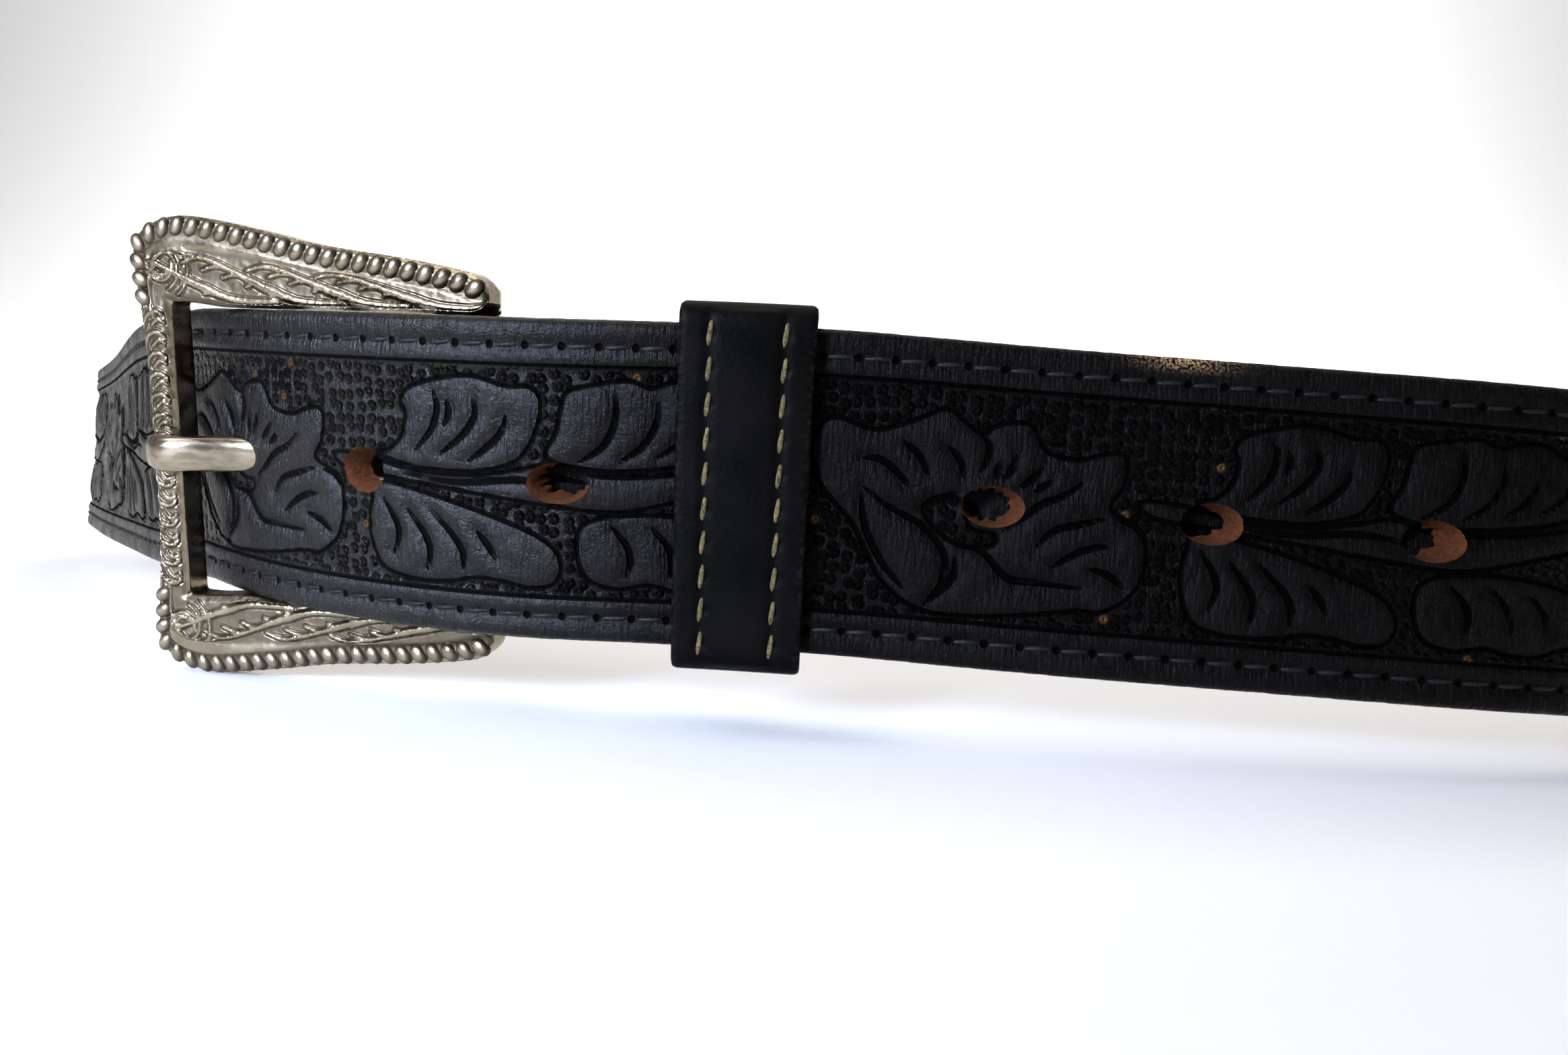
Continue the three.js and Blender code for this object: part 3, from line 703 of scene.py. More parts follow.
def strap_blank():
    """The strap as one closed flat bar: a grid rolled into a tube round its section, with its ends filled."""
    columns = strap_columns()
    section = strap_section()
    blank = new_shape(
        bpy.ops.mesh.primitive_grid_add, x_subdivisions=len(columns) - 1, y_subdivisions=len(section) - 1,
        size=2,
    )
    named(blank, "strap_leather")
    points = coordinates(blank)
    column = np.rint((points[:, 0] + 1) / 2 * (len(columns) - 1)).astype(int)
    row = np.rint((points[:, 1] + 1) / 2 * (len(section) - 1)).astype(int)
    along = columns[column]
    across = section[row, 0] * half_width_share(along)
    set_coordinates(blank, np.column_stack([along, across, section[row, 1]]) * MM)
    edit(merge_close(1e-7), close_open_ends)
    edit(face_outwards)
    return blank


# Punched holes: ovals that narrow and tear towards the flesh side, and slant a little more the farther along

HOLE_TAPER = 0.7
HOLE_LEAN = -0.018
HOLE_UPRIGHT_AT = 45
HOLE_RISE = 0.45
HOLE_SIDES = 48
HOLE_LEVELS = 6
TEAR_WAVES = 12
TEAR_DEPTH = 0.13
PUNCH_PAST_FACE = 0.5
FOLD_SLOT_DEPTH = 6
PRONG_HOLE_SHIFT = 0.6
PRONG_HOLE_SLANT = 6.0
PRONG_HOLE_STRETCH = 1.25
FIRST_HOLE_STRETCH = 0.84
FIRST_HOLE_TALL = 1.16


def hole_punch(along, tears, slant, stretch=1.0, tall=1.0):
    """An oval punch through the flat strap, narrower and torn at the flesh side."""
    punch = new_shape(bpy.ops.mesh.primitive_cylinder_add, vertices=HOLE_SIDES, radius=1, depth=2)
    cut_across(punch, 2, HOLE_LEVELS)
    points = coordinates(punch)
    angle = np.arctan2(points[:, 1], points[:, 0])
    depth = (1 - points[:, 2]) / 2
    tear = tears.normal(size=2 * TEAR_WAVES)
    lobes = sum(tear[k] * np.sin((k + 3) * angle + 9 * tear[k + TEAR_WAVES]) for k in range(TEAR_WAVES)) / 4
    reach = 1 - (1 - HOLE_TAPER) * depth + TEAR_DEPTH * lobes * smoothstep(depth, 0.55, 0.9)
    x = along + np.cos(angle) * HOLE_LENGTH / 2 * stretch * reach + slant * depth
    y = np.sin(angle) * HOLE_HEIGHT / 2 * tall * reach + HOLE_RISE * depth
    set_coordinates(punch, np.column_stack([x, y, points[:, 2] * (HALF_THICK + PUNCH_PAST_FACE)]) * MM)
    return punch


def fold_punch():
    """The slot in the fold that the prong's eye turns in."""
    reach = HEEL_BAR_RADIUS + LAYER_GAP + PRONG_EYE_WALL
    width = PRONG_WIDTH + 4 * LAYER_GAP
    return new_shape(
        bpy.ops.mesh.primitive_cube_add, size=1, location=(-FOLD_LENGTH / 2 * MM, 0, 0),
        scale=((FOLD_LENGTH + 4 * reach) * MM, width * MM, FOLD_SLOT_DEPTH * MM),
    )


def strap_punches():
    tears = np.random.default_rng(5)
    prong_hole = LOOP_LENGTH - HOLE_FROM_HEEL
    punches = [hole_punch(prong_hole + PRONG_HOLE_SHIFT, tears, PRONG_HOLE_SLANT, PRONG_HOLE_STRETCH)]
    for number in range(1, HOLE_COUNT):
        slant = HOLE_LEAN * (number * HOLE_PITCH - HOLE_FROM_HEEL - HOLE_UPRIGHT_AT)
        shape = (FIRST_HOLE_STRETCH, FIRST_HOLE_TALL) if number == 1 else (1, 1)
        punches.append(hole_punch(prong_hole + number * HOLE_PITCH, tears, slant, *shape))
    return joined(punches + [fold_punch()], "punches")


def punch_strap(blank, leather, raw_leather):
    """Punches the holes, whose walls show the raw leather."""
    punches = strap_punches()
    for obj in (blank, punches):
        obj.data.materials.append(leather)
        obj.data.materials.append(raw_leather)
    for face in punches.data.polygons:
        face.material_index = 1
    apply_modifier(
        blank, "BOOLEAN", object=punches, operation="DIFFERENCE", solver="EXACT", material_mode="INDEX",
    )
    bpy.data.objects.remove(punches)


def make_uv(obj, along, across):
    """A UV map that holds millimetres along and across the strap, a hundred to the unit."""
    while obj.data.uv_layers:
        obj.data.uv_layers.remove(obj.data.uv_layers[0])
    layer = obj.data.uv_layers.new(name="strap_map")
    corners = np.empty(len(obj.data.loops), int)
    obj.data.loops.foreach_get("vertex_index", corners)
    values = np.column_stack([along[corners], across[corners]]) / UV_UNIT
    layer.data.foreach_set("uv", values.astype(np.float32).ravel())


# Wear and unevenness of the strap, in millimetres. The scuff and the polish are measured from the heel bar.
SCUFF_FROM_HEEL = 86.0
SCUFF_LENGTH = 4.2
POLISHED_FROM = -48
POLISHED_TO = 0
POLISH_FADE = 36
WAVINESS = 0.05
EDGE_FUZZ = 0.1
TOOLED_FROM = 8


def strap_wear(along, across, out):
    """Where the top edge is scuffed to the tan, and where hands have polished the strap near the buckle."""
    past_heel = along - LOOP_LENGTH
    scuff = bell(past_heel - SCUFF_FROM_HEEL, SCUFF_LENGTH)
    scuff *= smoothstep(across, HALF_WIDTH - 2.2, HALF_WIDTH - 0.5) * smoothstep(out, -0.5, 1.0)
    polished = smoothstep(past_heel, POLISHED_FROM - POLISH_FADE, POLISHED_FROM)
    polished *= 1 - smoothstep(past_heel, POLISHED_TO, POLISHED_TO + POLISH_FADE)
    return {"scuff": scuff, "polished": polished}


def strap(leather, raw_leather):
    blank = strap_blank()
    punch_strap(blank, leather, raw_leather)
    along, across, out = (coordinates(blank) / MM).T
    edge_across = across / half_width_share(along)
    columns = strap_columns()
    spacing = np.interp(along, (columns[1:] + columns[:-1]) / 2, np.diff(columns))
    marks = tooling(along, across, edge_across, spacing)
    face = smoothstep(out, HALF_THICK - 0.7, HALF_THICK - 0.02)
    tooled = face * (along > TOOLED_FROM)
    edge = smoothstep(np.abs(edge_across), HALF_WIDTH - 1.6, HALF_WIDTH)
    make_uv(blank, along, edge_across)
    set_attributes(
        blank, tooled=tooled, ground=marks["ground"] * tooled, to_outline=marks["to_outline"],
        to_cut=marks["to_cut"], edge_wear=edge, **strap_wear(along, across, out),
        flesh=1 - smoothstep(out, -HALF_THICK + 0.05, -HALF_THICK + 0.6),
    )
    new_out = out + marks["height"] * tooled + WAVINESS * even_noise(along, across, 16, 3) * face
    fuzz = EDGE_FUZZ * edge * even_noise(along, out * 3 + across, 1.7, 8)
    new_across = across - np.sign(across) * np.abs(fuzz)
    set_coordinates(blank, settled(on_strap(along, new_out, new_across)))
    finish_piece(smooth(blank, 50), "strap")


# Stitches
STITCH_PITCH = 4.2
STITCH_LENGTH = 3.5
STITCH_THICK = 0.62
STITCH_DIP = 0.28
STITCH_SLOPE = 0.07
STITCH_BLUNTNESS = 0.8
STITCH_START = TIP_LENGTH - 16
STITCH_END = LOOP_LENGTH + TIP_LENGTH - TIP_ROUNDING * 0.45


def stitch_bead(length, thick):
    """One stitch: a thread that swells in the middle, is blunt at both ends and has a little twist."""
    bead = new_shape(
        bpy.ops.mesh.primitive_uv_sphere_add, segments=10, ring_count=8, radius=1,
        rotation=(0, math.pi / 2, 0),
    )
    points = coordinates(bead)
    points[:, 0] = blunted(points[:, 0], STITCH_BLUNTNESS)
    twist = 0.1 * np.sin(9 * points[:, 0] + 2 * np.arctan2(points[:, 2], points[:, 1]))
    points[:, 1:] *= (1 + twist)[:, None]
    set_coordinates(bead, points * [length / 2 * MM, thick / 2 * MM, thick / 2 * MM])
    return bead


def stitch_row(count, pitch, length, thick):
    """A row of stitches along x, its points, and each point's way from the middle of its stitch."""
    row = apply_modifier(
        stitch_bead(length, thick), "ARRAY", count=count, use_relative_offset=False, use_constant_offset=True,
        constant_offset_displace=(pitch * MM, 0, 0),
    )
    points = coordinates(row) / MM
    return row, points, points[:, 0] - np.rint(points[:, 0] / pitch) * pitch


def edge_stitches(thread):
    count = int((STITCH_END - STITCH_START) / STITCH_PITCH)
    rows = []
    for side in (-1, 1):
        row, points, local = stitch_row(count, STITCH_PITCH, STITCH_LENGTH, STITCH_THICK)
        along = STITCH_START + points[:, 0]
        across = side * STITCH_LINE * half_width_share(along) + points[:, 1] + STITCH_SLOPE * local
        dip = STITCH_DIP * (2 * local / STITCH_LENGTH) ** 2
        out = HALF_THICK - 0.22 + points[:, 2] * 0.8 - dip
        set_coordinates(row, settled(on_strap(along, out, across)))
        rows.append(row)
    finish_piece(smooth(joined(rows, "edge_stitches"), 60), None, thread)


# Keeper, drawn with x along the strap, y into the loop and z up
KEEPER_DEPTH = 3 * STRAP_THICK + 2 * LAYER_GAP + 2 * KEEPER_CLEARANCE + 2 * KEEPER_WALL
KEEPER_HEIGHT = STRAP_WIDTH + 2 * KEEPER_CLEARANCE + 2 * KEEPER_WALL
KEEPER_STITCH_ROW = 4.2
KEEPER_STITCH_COUNT = 10
KEEPER_STITCH_PITCH = 3.95
KEEPER_STITCH_LENGTH = 3.1
KEEPER_STITCH_THICK = 0.62
KEEPER_GROOVE_WIDTH = 0.55
KEEPER_GROOVE_DEPTH = 0.22
KEEPER_PIT_DEPTH = 0.3
KEEPER_BULGE = 0.35
KEEPER_EDGE_BEVEL = 0.55
KEEPER_VOXEL = 0.42


def beside_strap(points, from_heel):
    """Points drawn with x along the strap, y into the loop and z up, carried to their place beside it."""
    x, y, heading = route_at(STRAP_START, LOOP, [from_heel])
    new_x = x + points[:, 0] * np.cos(heading) - points[:, 1] * np.sin(heading)
    new_y = y + points[:, 0] * np.sin(heading) + points[:, 1] * np.cos(heading)
    return settled(leaned(new_x, new_y, points[:, 2]) @ REST.T)


def keeper_blank():
    """A band with rounded corners, open at both ends."""
    size = (KEEPER_WIDTH * MM, KEEPER_DEPTH * MM, KEEPER_HEIGHT * MM)
    band = named(new_shape(bpy.ops.mesh.primitive_cube_add, size=1, scale=size), "keeper_band")
    edit_part(
        band, "FACE", lambda face: abs(face.normal.x) > 0.9, lambda: bpy.ops.mesh.delete(type="FACE"),
    )
    x = coordinates(band)[:, 0]
    edit_part(
        band, "EDGE", lambda edge: x[edge.vertices[0]] * x[edge.vertices[1]] < 0,
        lambda: bpy.ops.mesh.bevel(offset=KEEPER_CORNER * MM, segments=6, affect="EDGES"),
    )
    apply_modifier(band, "SOLIDIFY", thickness=KEEPER_WALL * MM, offset=-1)
    apply_modifier(
        band, "BEVEL", width=KEEPER_EDGE_BEVEL * MM, segments=3, limit_method="ANGLE",
        angle_limit=math.radians(50),
    )
    apply_modifier(band, "TRIANGULATE")
    return apply_modifier(band, "REMESH", mode="VOXEL", voxel_size=KEEPER_VOXEL * MM)


def keeper(leather):
    band = keeper_blank()
    x, y, z = (coordinates(band) / MM).T
    front = smoothstep(-y, KEEPER_DEPTH / 2 - 0.9, KEEPER_DEPTH / 2 - 0.3)
    groove = bell(np.abs(x) - KEEPER_STITCH_ROW, KEEPER_GROOVE_WIDTH) * front
    pit = groove * smoothstep(-np.cos(2 * math.pi * z / KEEPER_STITCH_PITCH), 0.5, 1.0)
    bulge = KEEPER_BULGE * front * np.cos(math.pi * x / KEEPER_WIDTH) - 0.1
    y += (KEEPER_GROOVE_DEPTH * groove + KEEPER_PIT_DEPTH * pit - bulge) * front
    y += 0.06 * front * even_noise(x, z, 9, 21)
    x += 0.1 * even_noise(z, y, 13, 4)
    # The cut field marks the stitch grooves and pits, which the keeper's material darkens as painted shade.
    set_attributes(
        band, cut=np.clip(0.5 * groove + 0.8 * pit, 0, 1),
        edge_wear=smoothstep(np.abs(x), KEEPER_WIDTH / 2 - 1.1, KEEPER_WIDTH / 2 - 0.2),
    )
    set_coordinates(band, beside_strap(np.column_stack([x, y, z]), KEEPER_FROM_HEEL + KEEPER_WIDTH / 2))
    finish_piece(smooth(band, 60), "keeper", leather)


def keeper_stitches(thread):
    rows = []
    for side in (-1, 1):
        row, points, local = stitch_row(
            KEEPER_STITCH_COUNT, KEEPER_STITCH_PITCH, KEEPER_STITCH_LENGTH, KEEPER_STITCH_THICK,
        )
        up = points[:, 0] - (KEEPER_STITCH_COUNT - 1) / 2 * KEEPER_STITCH_PITCH
        inward = 0.1 * local**2 - KEEPER_DEPTH / 2 - 0.02 + points[:, 2] * 0.75
        along = side * KEEPER_STITCH_ROW + points[:, 1] + 0.1 * local
        made = np.column_stack([along, inward, up])
        set_coordinates(row, beside_strap(made, KEEPER_FROM_HEEL + KEEPER_WIDTH / 2))
        rows.append(row)
    finish_piece(smooth(joined(rows, "keeper_stitches"), 60), None, thread)


# Buckle frame. Its own axes are x away from the front bar, -y out of its face and z up, in millimetres.

# The arm's outline: shares of the way from the heel end to the front edge, and of the arm's full width
ARM_OUTLINE = [
    (0, 0.32), (0.07, 0.43), (0.23, 0.56), (0.45, 0.69), (0.61, 0.84), (0.78, 0.98), (0.87, 1), (0.95, 0.9),
    (1, 0.66),
]
ARM_PLACES = [HEEL_OVERHANG - along * (FRAME_LENGTH + FRONT_EDGE_LOBE) for along, _ in ARM_OUTLINE]
ARM_WIDTHS = [width * ARM_WIDTH for _, width in ARM_OUTLINE]
FRAME_VOXEL = 0.26
ROPE_INSET = 1.45
ROPE_PITCH = 2.3
ROPE_THICK = 1.7
ROPE_SINK = 0.62
ROPE_SLANT = math.radians(33)
ROPE_STRAND_THICK = 1.08
ROPE_STRAND_LONG = 1.5
ROPE_FROM = 0.93 * OPENING_HALF

# The running scroll of the arm is long leaves with five folds each, in shares of a leaf's reach and height
LEAF_COUNT = 4
LEAF_PITCH = 10.2
LEAF_REACH = 23
LEAF_HEIGHT_SHARE = 0.52
FIRST_LEAF = 2.5
LEAF_BASE = OPENING_HALF + 0.35
LEAF_SWEEP = [(-0.1, 0.06), (0.2, 0.1), (0.46, 0.34), (0.68, 0.78), (0.86, 1.0), (0.98, 0.88)]
LEAF_FOLDS = [(1.0, 1.0), (0.86, 0.8), (0.72, 0.6), (0.56, 0.4), (0.4, 0.2)]

CORNER_SPIRALS = [
    {"centre": (-43.4, 24.4), "radius": 4.4, "start": 5.2, "turns": 1.2},
    {"centre": (-43.6, 24.0), "radius": 2.9, "start": 5.0, "turns": 1.0},
]
SPIRAL_TIGHTENING = 0.7
CORNER_LINES = [
    [(-47.2, 18.0), (-47.4, 22.0), (-46.4, 26.4), (-43.0, 28.0), (-38.0, 26.8)],
    [(-45.6, 17.6), (-46.0, 21.0), (-45.0, 24.6), (-42.4, 26.2), (-38.6, 25.6)],
]
CHIP_COUNT = 7
CHIP_PITCH = 2.7
FIRST_CHIP = 1.2
CHIP_LINES = [
    [(-1.9, -1.3), (-0.9, 0.5), (0.6, 0.9), (1.9, 0.1)],
    [(-0.4, -0.9), (0.6, -0.1), (1.8, -0.5)],
]

# Relief of the casting
RIDGE_WIDTH = 0.36
RIDGE_MARGIN = 1.4
RIDGE_LIFT = 0.3
FIELD_SINK = 0.16
CHANNEL_DEPTH = 0.28
HAMMER_DEPTH = 0.05
SCROLLED_SHARE = 0.62
EDGE_ROUNDING = 0.8
OPENING_ROUNDING = 0.45
HEEL_ROUNDING = 2.4
ARM_SWELL = 0.55


def frame_edge():
    """The frame's outer edge above its middle, from the heel end round the corner to the front bar."""
    points = [(x, OPENING_HALF + width) for x, width in zip(ARM_PLACES, ARM_WIDTHS)]
    front_edge = HEEL_OVERHANG - FRAME_LENGTH
    points.append((front_edge - FRONT_EDGE_LOBE * LOBE_ENDS_SHARE, OPENING_HALF))
    points.append((front_edge, OPENING_HALF * STRAIGHT_EDGE_SHARE))
    points.append((front_edge, 0))
    return smooth_line(points, per_span=12)


def arm_width(x):
    return np.interp(-x, [-place for place in ARM_PLACES], ARM_WIDTHS)


def turned(points, lean):
    x, y, z = points.T
    new_y = y * math.cos(lean) - z * math.sin(lean)
    new_z = z * math.cos(lean) + y * math.sin(lean)
    return np.column_stack([x, new_y, new_z])


def to_buckle(points):
    """Frame metres back to the buckle's own millimetres."""
    return turned((points / MM - SHIFT) @ REST, -BUCKLE_LEAN)


def from_buckle(points):
    return settled(turned(points, BUCKLE_LEAN) @ REST.T)


def spiral(centre, radius, start, turns):
    """A scroll that winds in from its outer end."""
    angle = np.linspace(0, turns * 2 * math.pi, int(22 * turns) + 6)
    reach = radius * (1 - SPIRAL_TIGHTENING * angle / angle[-1])
    x = centre[0] + reach * np.cos(start + angle)
    z = centre[1] + reach * np.sin(start + angle)
    return np.column_stack([x, z])


def scroll_lines():
    """The raised work of the upper half: leaves along the arm, a scroll in the corner, chips on the bar."""
    lines = [*CORNER_LINES]
    for number in range(LEAF_COUNT):
        x = FIRST_LEAF - LEAF_PITCH * number
        height = LEAF_HEIGHT_SHARE * arm_width(x - LEAF_REACH * 0.7)
        for reach, rise in LEAF_FOLDS:
            lines.append([
                (x - along * reach * LEAF_REACH, LEAF_BASE + up * rise * height) for along, up in LEAF_SWEEP
            ])
    bar_middle = -(OPENING_LENGTH + FRONT_BAR_WIDTH / 2)
    for number in range(CHIP_COUNT):
        up = FIRST_CHIP + CHIP_PITCH * number
        lines += [[(bar_middle + x, up + z) for x, z in chip] for chip in CHIP_LINES]
    return [smooth_line(points) for points in lines] + [spiral(**scroll) for scroll in CORNER_SPIRALS]


def scroll_fields(x, up):
    """How high the raised lines stand at each point, and the distance to the nearest of them."""
    ridge = np.zeros(x.shape)
    to_line = np.full(x.shape, FAR_AWAY)
    for line in scroll_lines():
        picked = near(x, up, line, RIDGE_MARGIN)
        distance, share = distance_to_line(x[picked], up[picked], line)
        taper = 0.3 + 0.7 * np.sin(math.pi * np.clip(0.1 + 0.8 * share, 0, 1))
        ridge[picked] = np.maximum(ridge[picked], bell(distance, RIDGE_WIDTH) * taper)
        to_line[picked] = np.minimum(to_line[picked], distance + 0.2 * (1 - taper))
    return ridge, to_line


def casting_blank():
    """A copy of the CAD's frame with fine and even faces."""
    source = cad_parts["buckle_frame"]
    casting = source.copy()
    casting.data = source.data.copy()
    named(casting, "buckle_casting")
    bpy.context.scene.collection.objects.link(casting)
    casting.parent = None
    casting.matrix_world = source.matrix_world
    bake_place(casting)
    edit(merge_close(1e-6))
    apply_modifier(casting, "REMESH", mode="VOXEL", voxel_size=FRAME_VOXEL * MM)
    return apply_modifier(casting, "SMOOTH", factor=0.6, iterations=3)


def swollen(x, up, to_opening):
    """Heights with the heel ends rounded, and the arms closed a little on the strap's edges."""
    heel_middle = OPENING_HALF + ARM_WIDTHS[0] / 2
    into_end = np.clip((x - HEEL_OVERHANG + HEEL_ROUNDING) / HEEL_ROUNDING, 0, 0.98)
    rounded = heel_middle + (up - heel_middle) * np.sqrt(1 - into_end**2)
    beside_strap_edge = (1 - smoothstep(to_opening, 0, 2.5)) * (up > OPENING_HALF - 0.7)
    swell = ARM_SWELL * beside_strap_edge * smoothstep(x, -41, -34)
    return np.where(up > OPENING_HALF - 0.5, rounded, up) - swell


def buckle_frame(silver):
    casting = casting_blank()
    x, y, z = to_buckle(coordinates(casting)).T
    up = np.abs(z)
    opening = np.array([(HEEL_OVERHANG, OPENING_HALF), (-OPENING_LENGTH, OPENING_HALF), (-OPENING_LENGTH, 0)])
    to_opening = distance_to_line(x, up, opening)[0]
    to_edge = distance_to_line(x, up, frame_edge())[0]
    ridge, to_line = scroll_fields(x, up)
    face = smoothstep(-y, FRAME_THICK - 1.4, FRAME_THICK - 0.4)
    bar = (x < -OPENING_LENGTH + 0.6) & (up < OPENING_HALF - 0.5)
    scrolled = smoothstep(SCROLLED_SHARE * arm_width(x) - to_opening, -0.5, 0.5)
    field = np.where(bar, smoothstep(to_edge, 0.2, 0.7), scrolled) * smoothstep(to_opening, 0.05, 0.5) * face
    channel = smoothstep(to_edge, 0.5, 0.9) * (1 - smoothstep(to_edge, 2.5, 3.0)) * face * ~bar
    rounding = EDGE_ROUNDING * (1 - smoothstep(to_edge, 0, 1.3))
    rounding += OPENING_ROUNDING * (1 - smoothstep(to_opening, 0, 1.0))
    lift = field * (RIDGE_LIFT * ridge - FIELD_SINK + HAMMER_DEPTH * even_noise(x, z, 1.5, 12))
    lift -= CHANNEL_DEPTH * channel + rounding * face
    set_attributes(
        casting, recess=np.clip(field * (0.75 - 1.3 * ridge) + 0.9 * channel, 0, 1),
        to_line=to_line + FAR_AWAY * (1 - field),
    )
    new_z = np.sign(z) * swollen(x, up, to_opening)
    set_coordinates(casting, from_buckle(np.column_stack([x, y - lift, new_z])))
    finish_piece(smooth(casting, 60), "buckle_frame", silver)


def unit(run):
    return run / np.hypot(*run.T)[:, None]


def rope_places():
    """Places a pitch apart along the rope's middle, with the way it runs there."""
    edge = frame_edge()
    run = unit(np.gradient(edge, axis=0))
    line = edge + np.column_stack([-run[:, 1], run[:, 0]]) * ROPE_INSET
    line = line[line[:, 1] > ROPE_FROM]
    way = np.concatenate([[0], np.cumsum(np.hypot(*np.diff(line, axis=0).T))])
    at = np.arange(ROPE_PITCH / 2, way[-1], ROPE_PITCH)
    here, ahead = (
        np.column_stack([np.interp(place, way, line[:, axis]) for axis in range(2)])
        for place in (at, at + 0.3)
    )
    return zip(here, unit(ahead - here))


def rope_edge(silver):
    """The rope along the frame's outer rim: slanted beads that overlap."""
    template = new_shape(bpy.ops.mesh.primitive_uv_sphere_add, segments=16, ring_count=12, radius=1)
    bead = coordinates(template)
    thick = bead[:, 0] * ROPE_STRAND_THICK
    long = bead[:, 1] * ROPE_STRAND_LONG
    along = thick * math.cos(ROPE_SLANT) + long * math.sin(ROPE_SLANT)
    across = long * math.cos(ROPE_SLANT) - thick * math.sin(ROPE_SLANT)
    y = bead[:, 2] * ROPE_THICK / 2 + ROPE_SINK - FRAME_THICK
    copies = []
    for half in (1, -1):
        for (x, z), (run_x, run_z) in rope_places():
            copy = template.copy()
            copy.data = template.data.copy()
            bpy.context.scene.collection.objects.link(copy)
            new_x = x + along * run_x - across * run_z
            new_z = half * (z + along * run_z + across * run_x)
            set_coordinates(copy, from_buckle(np.column_stack([new_x, y, new_z])))
            copies.append(copy)
    bpy.data.objects.remove(template)
    rope = joined(copies, "rope_edge")
    edit(face_outwards)
    out = -to_buckle(coordinates(rope))[:, 1]
    recess = 1 - smoothstep(out, FRAME_THICK - 0.1, FRAME_THICK + 0.25)
    set_attributes(rope, recess=recess, to_line=np.full(out.shape, FAR_AWAY))
    finish_piece(smooth(rope, 60), None, silver)


# Prong: shares of its reach, of its rise and of its thickness
PRONG_LINE = [
    (0, 0, 1), (0.22, 0.01, 1), (0.42, 0.03, 1), (0.6, 0.12, 1), (0.74, 0.42, 1), (0.86, 0.88, 1),
    (0.93, 1, 1), (1, 0.88, 0.5),
]
PRONG_CUTS = 90
PRONG_SWOLLEN_WIDTH = 4.7
PRONG_DRAWN_SHARE = 0.975
PRONG_BLUNTNESS = 0.72
PRONG_NARROWING = 0.12
EYE_BLUNTNESS = 0.7


def prong_blade():
    """A rounded bar drawn out along the prong's bend."""
    line = smooth_line([
        (-reach * PRONG_REACH * PRONG_DRAWN_SHARE, -rise * PRONG_RISE, thick)
        for reach, rise, thick in PRONG_LINE
    ], per_span=10)
    blade = new_shape(
        bpy.ops.mesh.primitive_cylinder_add, vertices=28, radius=1, depth=2, rotation=(0, math.pi / 2, 0),
    )
    cut_across(blade, 0, PRONG_CUTS)
    points = coordinates(blade)
    share = (points[:, 0] + 1) / 2
    at = share * (len(line) - 1)
    index = np.arange(len(line))
    x, y, thick = (np.interp(at, index, line[:, axis]) for axis in range(3))
    run = np.gradient(line[:, :2], axis=0)
    heading = np.interp(at, index, np.unwrap(np.arctan2(run[:, 1], run[:, 0])))
    angle = np.arctan2(points[:, 2], points[:, 1])
    out = blunted(np.cos(angle), PRONG_BLUNTNESS) * PRONG_THICK / 2 * thick
    up = blunted(np.sin(angle), PRONG_BLUNTNESS) * PRONG_SWOLLEN_WIDTH / 2
    up *= 1 - PRONG_NARROWING * smoothstep(share, 0.93, 1)
    made = np.column_stack([x + out * np.sin(heading), y - out * np.cos(heading), up])
    set_coordinates(blade, from_buckle(made))
    return blade


def prong_eye():
    """The ring round the heel bar."""
    middle = HEEL_BAR_RADIUS + LAYER_GAP + PRONG_EYE_WALL / 2
    eye = new_shape(
        bpy.ops.mesh.primitive_torus_add, major_radius=middle, minor_radius=1, major_segments=40,
        minor_segments=16, generate_uvs=False,
    )
    x, y, z = coordinates(eye).T
    around = np.arctan2(y, x)
    reach = middle + (np.hypot(x, y) - middle) * PRONG_EYE_WALL / 2
    up = blunted(z, EYE_BLUNTNESS) * PRONG_WIDTH / 2
    set_coordinates(eye, from_buckle(np.column_stack([reach * np.cos(around), reach * np.sin(around), up])))
    return eye


def prong(silver):
    tongue = joined([prong_blade(), prong_eye()], "prong_tongue")
    edit(face_outwards)
    finish_piece(smooth(tongue, 40), "prong", silver)


def fold_post(number, side, silver):
    """A post with a head at each end, drawn upright and then laid through the fold."""
    height = 2 * STRAP_THICK + 3 * LAYER_GAP + POST_HEAD_THICK
    cylinder = bpy.ops.mesh.primitive_cylinder_add
    parts = [new_shape(cylinder, vertices=40, radius=POST_SHANK_RADIUS, depth=height - 1)]
    for end in (-1, 1):
        middle = end * (height - POST_HEAD_THICK) / 2
        head = new_shape(
            cylinder, vertices=40, radius=POST_HEAD_RADIUS, depth=POST_HEAD_THICK, location=(0, 0, middle),
        )
        parts.append(apply_modifier(head, "BEVEL", width=0.35, segments=4, limit_method="ANGLE"))
    post = joined(parts, f"post_{number}")
    x, y, z = coordinates(post).T
    made = np.column_stack([x, z + height / 2 - HALF_THICK, y + side * POST_SPREAD / 2])
    set_coordinates(post, beside_strap(made, POST_FROM_HEEL))
    edit(face_outwards)
    finish_piece(smooth(post, 40), f"fold_post_{number}", silver)


# Materials

def colour(hex_value):
    """A linear colour from an sRGB hex value."""
    channels = [(hex_value >> shift & 255) / 255 for shift in (16, 8, 0)]
    linear = [c / 12.92 if c <= 0.04045 else ((c + 0.055) / 1.055) ** 2.4 for c in channels]
    return (*linear, 1)


def add(tree, kind, inputs=(), output=0, **settings):
    """Adds a node with its settings, sets or links its inputs, and gives back one of its outputs."""
    node = tree.nodes.new("ShaderNode" + kind)
    for name, value in settings.items():
        setattr(node, name, value)
    for key, value in inputs.items() if isinstance(inputs, dict) else enumerate(inputs):
        if isinstance(value, bpy.types.NodeSocket):
            tree.links.new(value, node.inputs[key])
        else:
            node.inputs[key].default_value = value
    return node.outputs[output] if node.outputs else node


def new_material(name):
    material = bpy.data.materials.new(name)
    material.use_nodes = True
    material.node_tree.nodes.clear()
    return material, material.node_tree


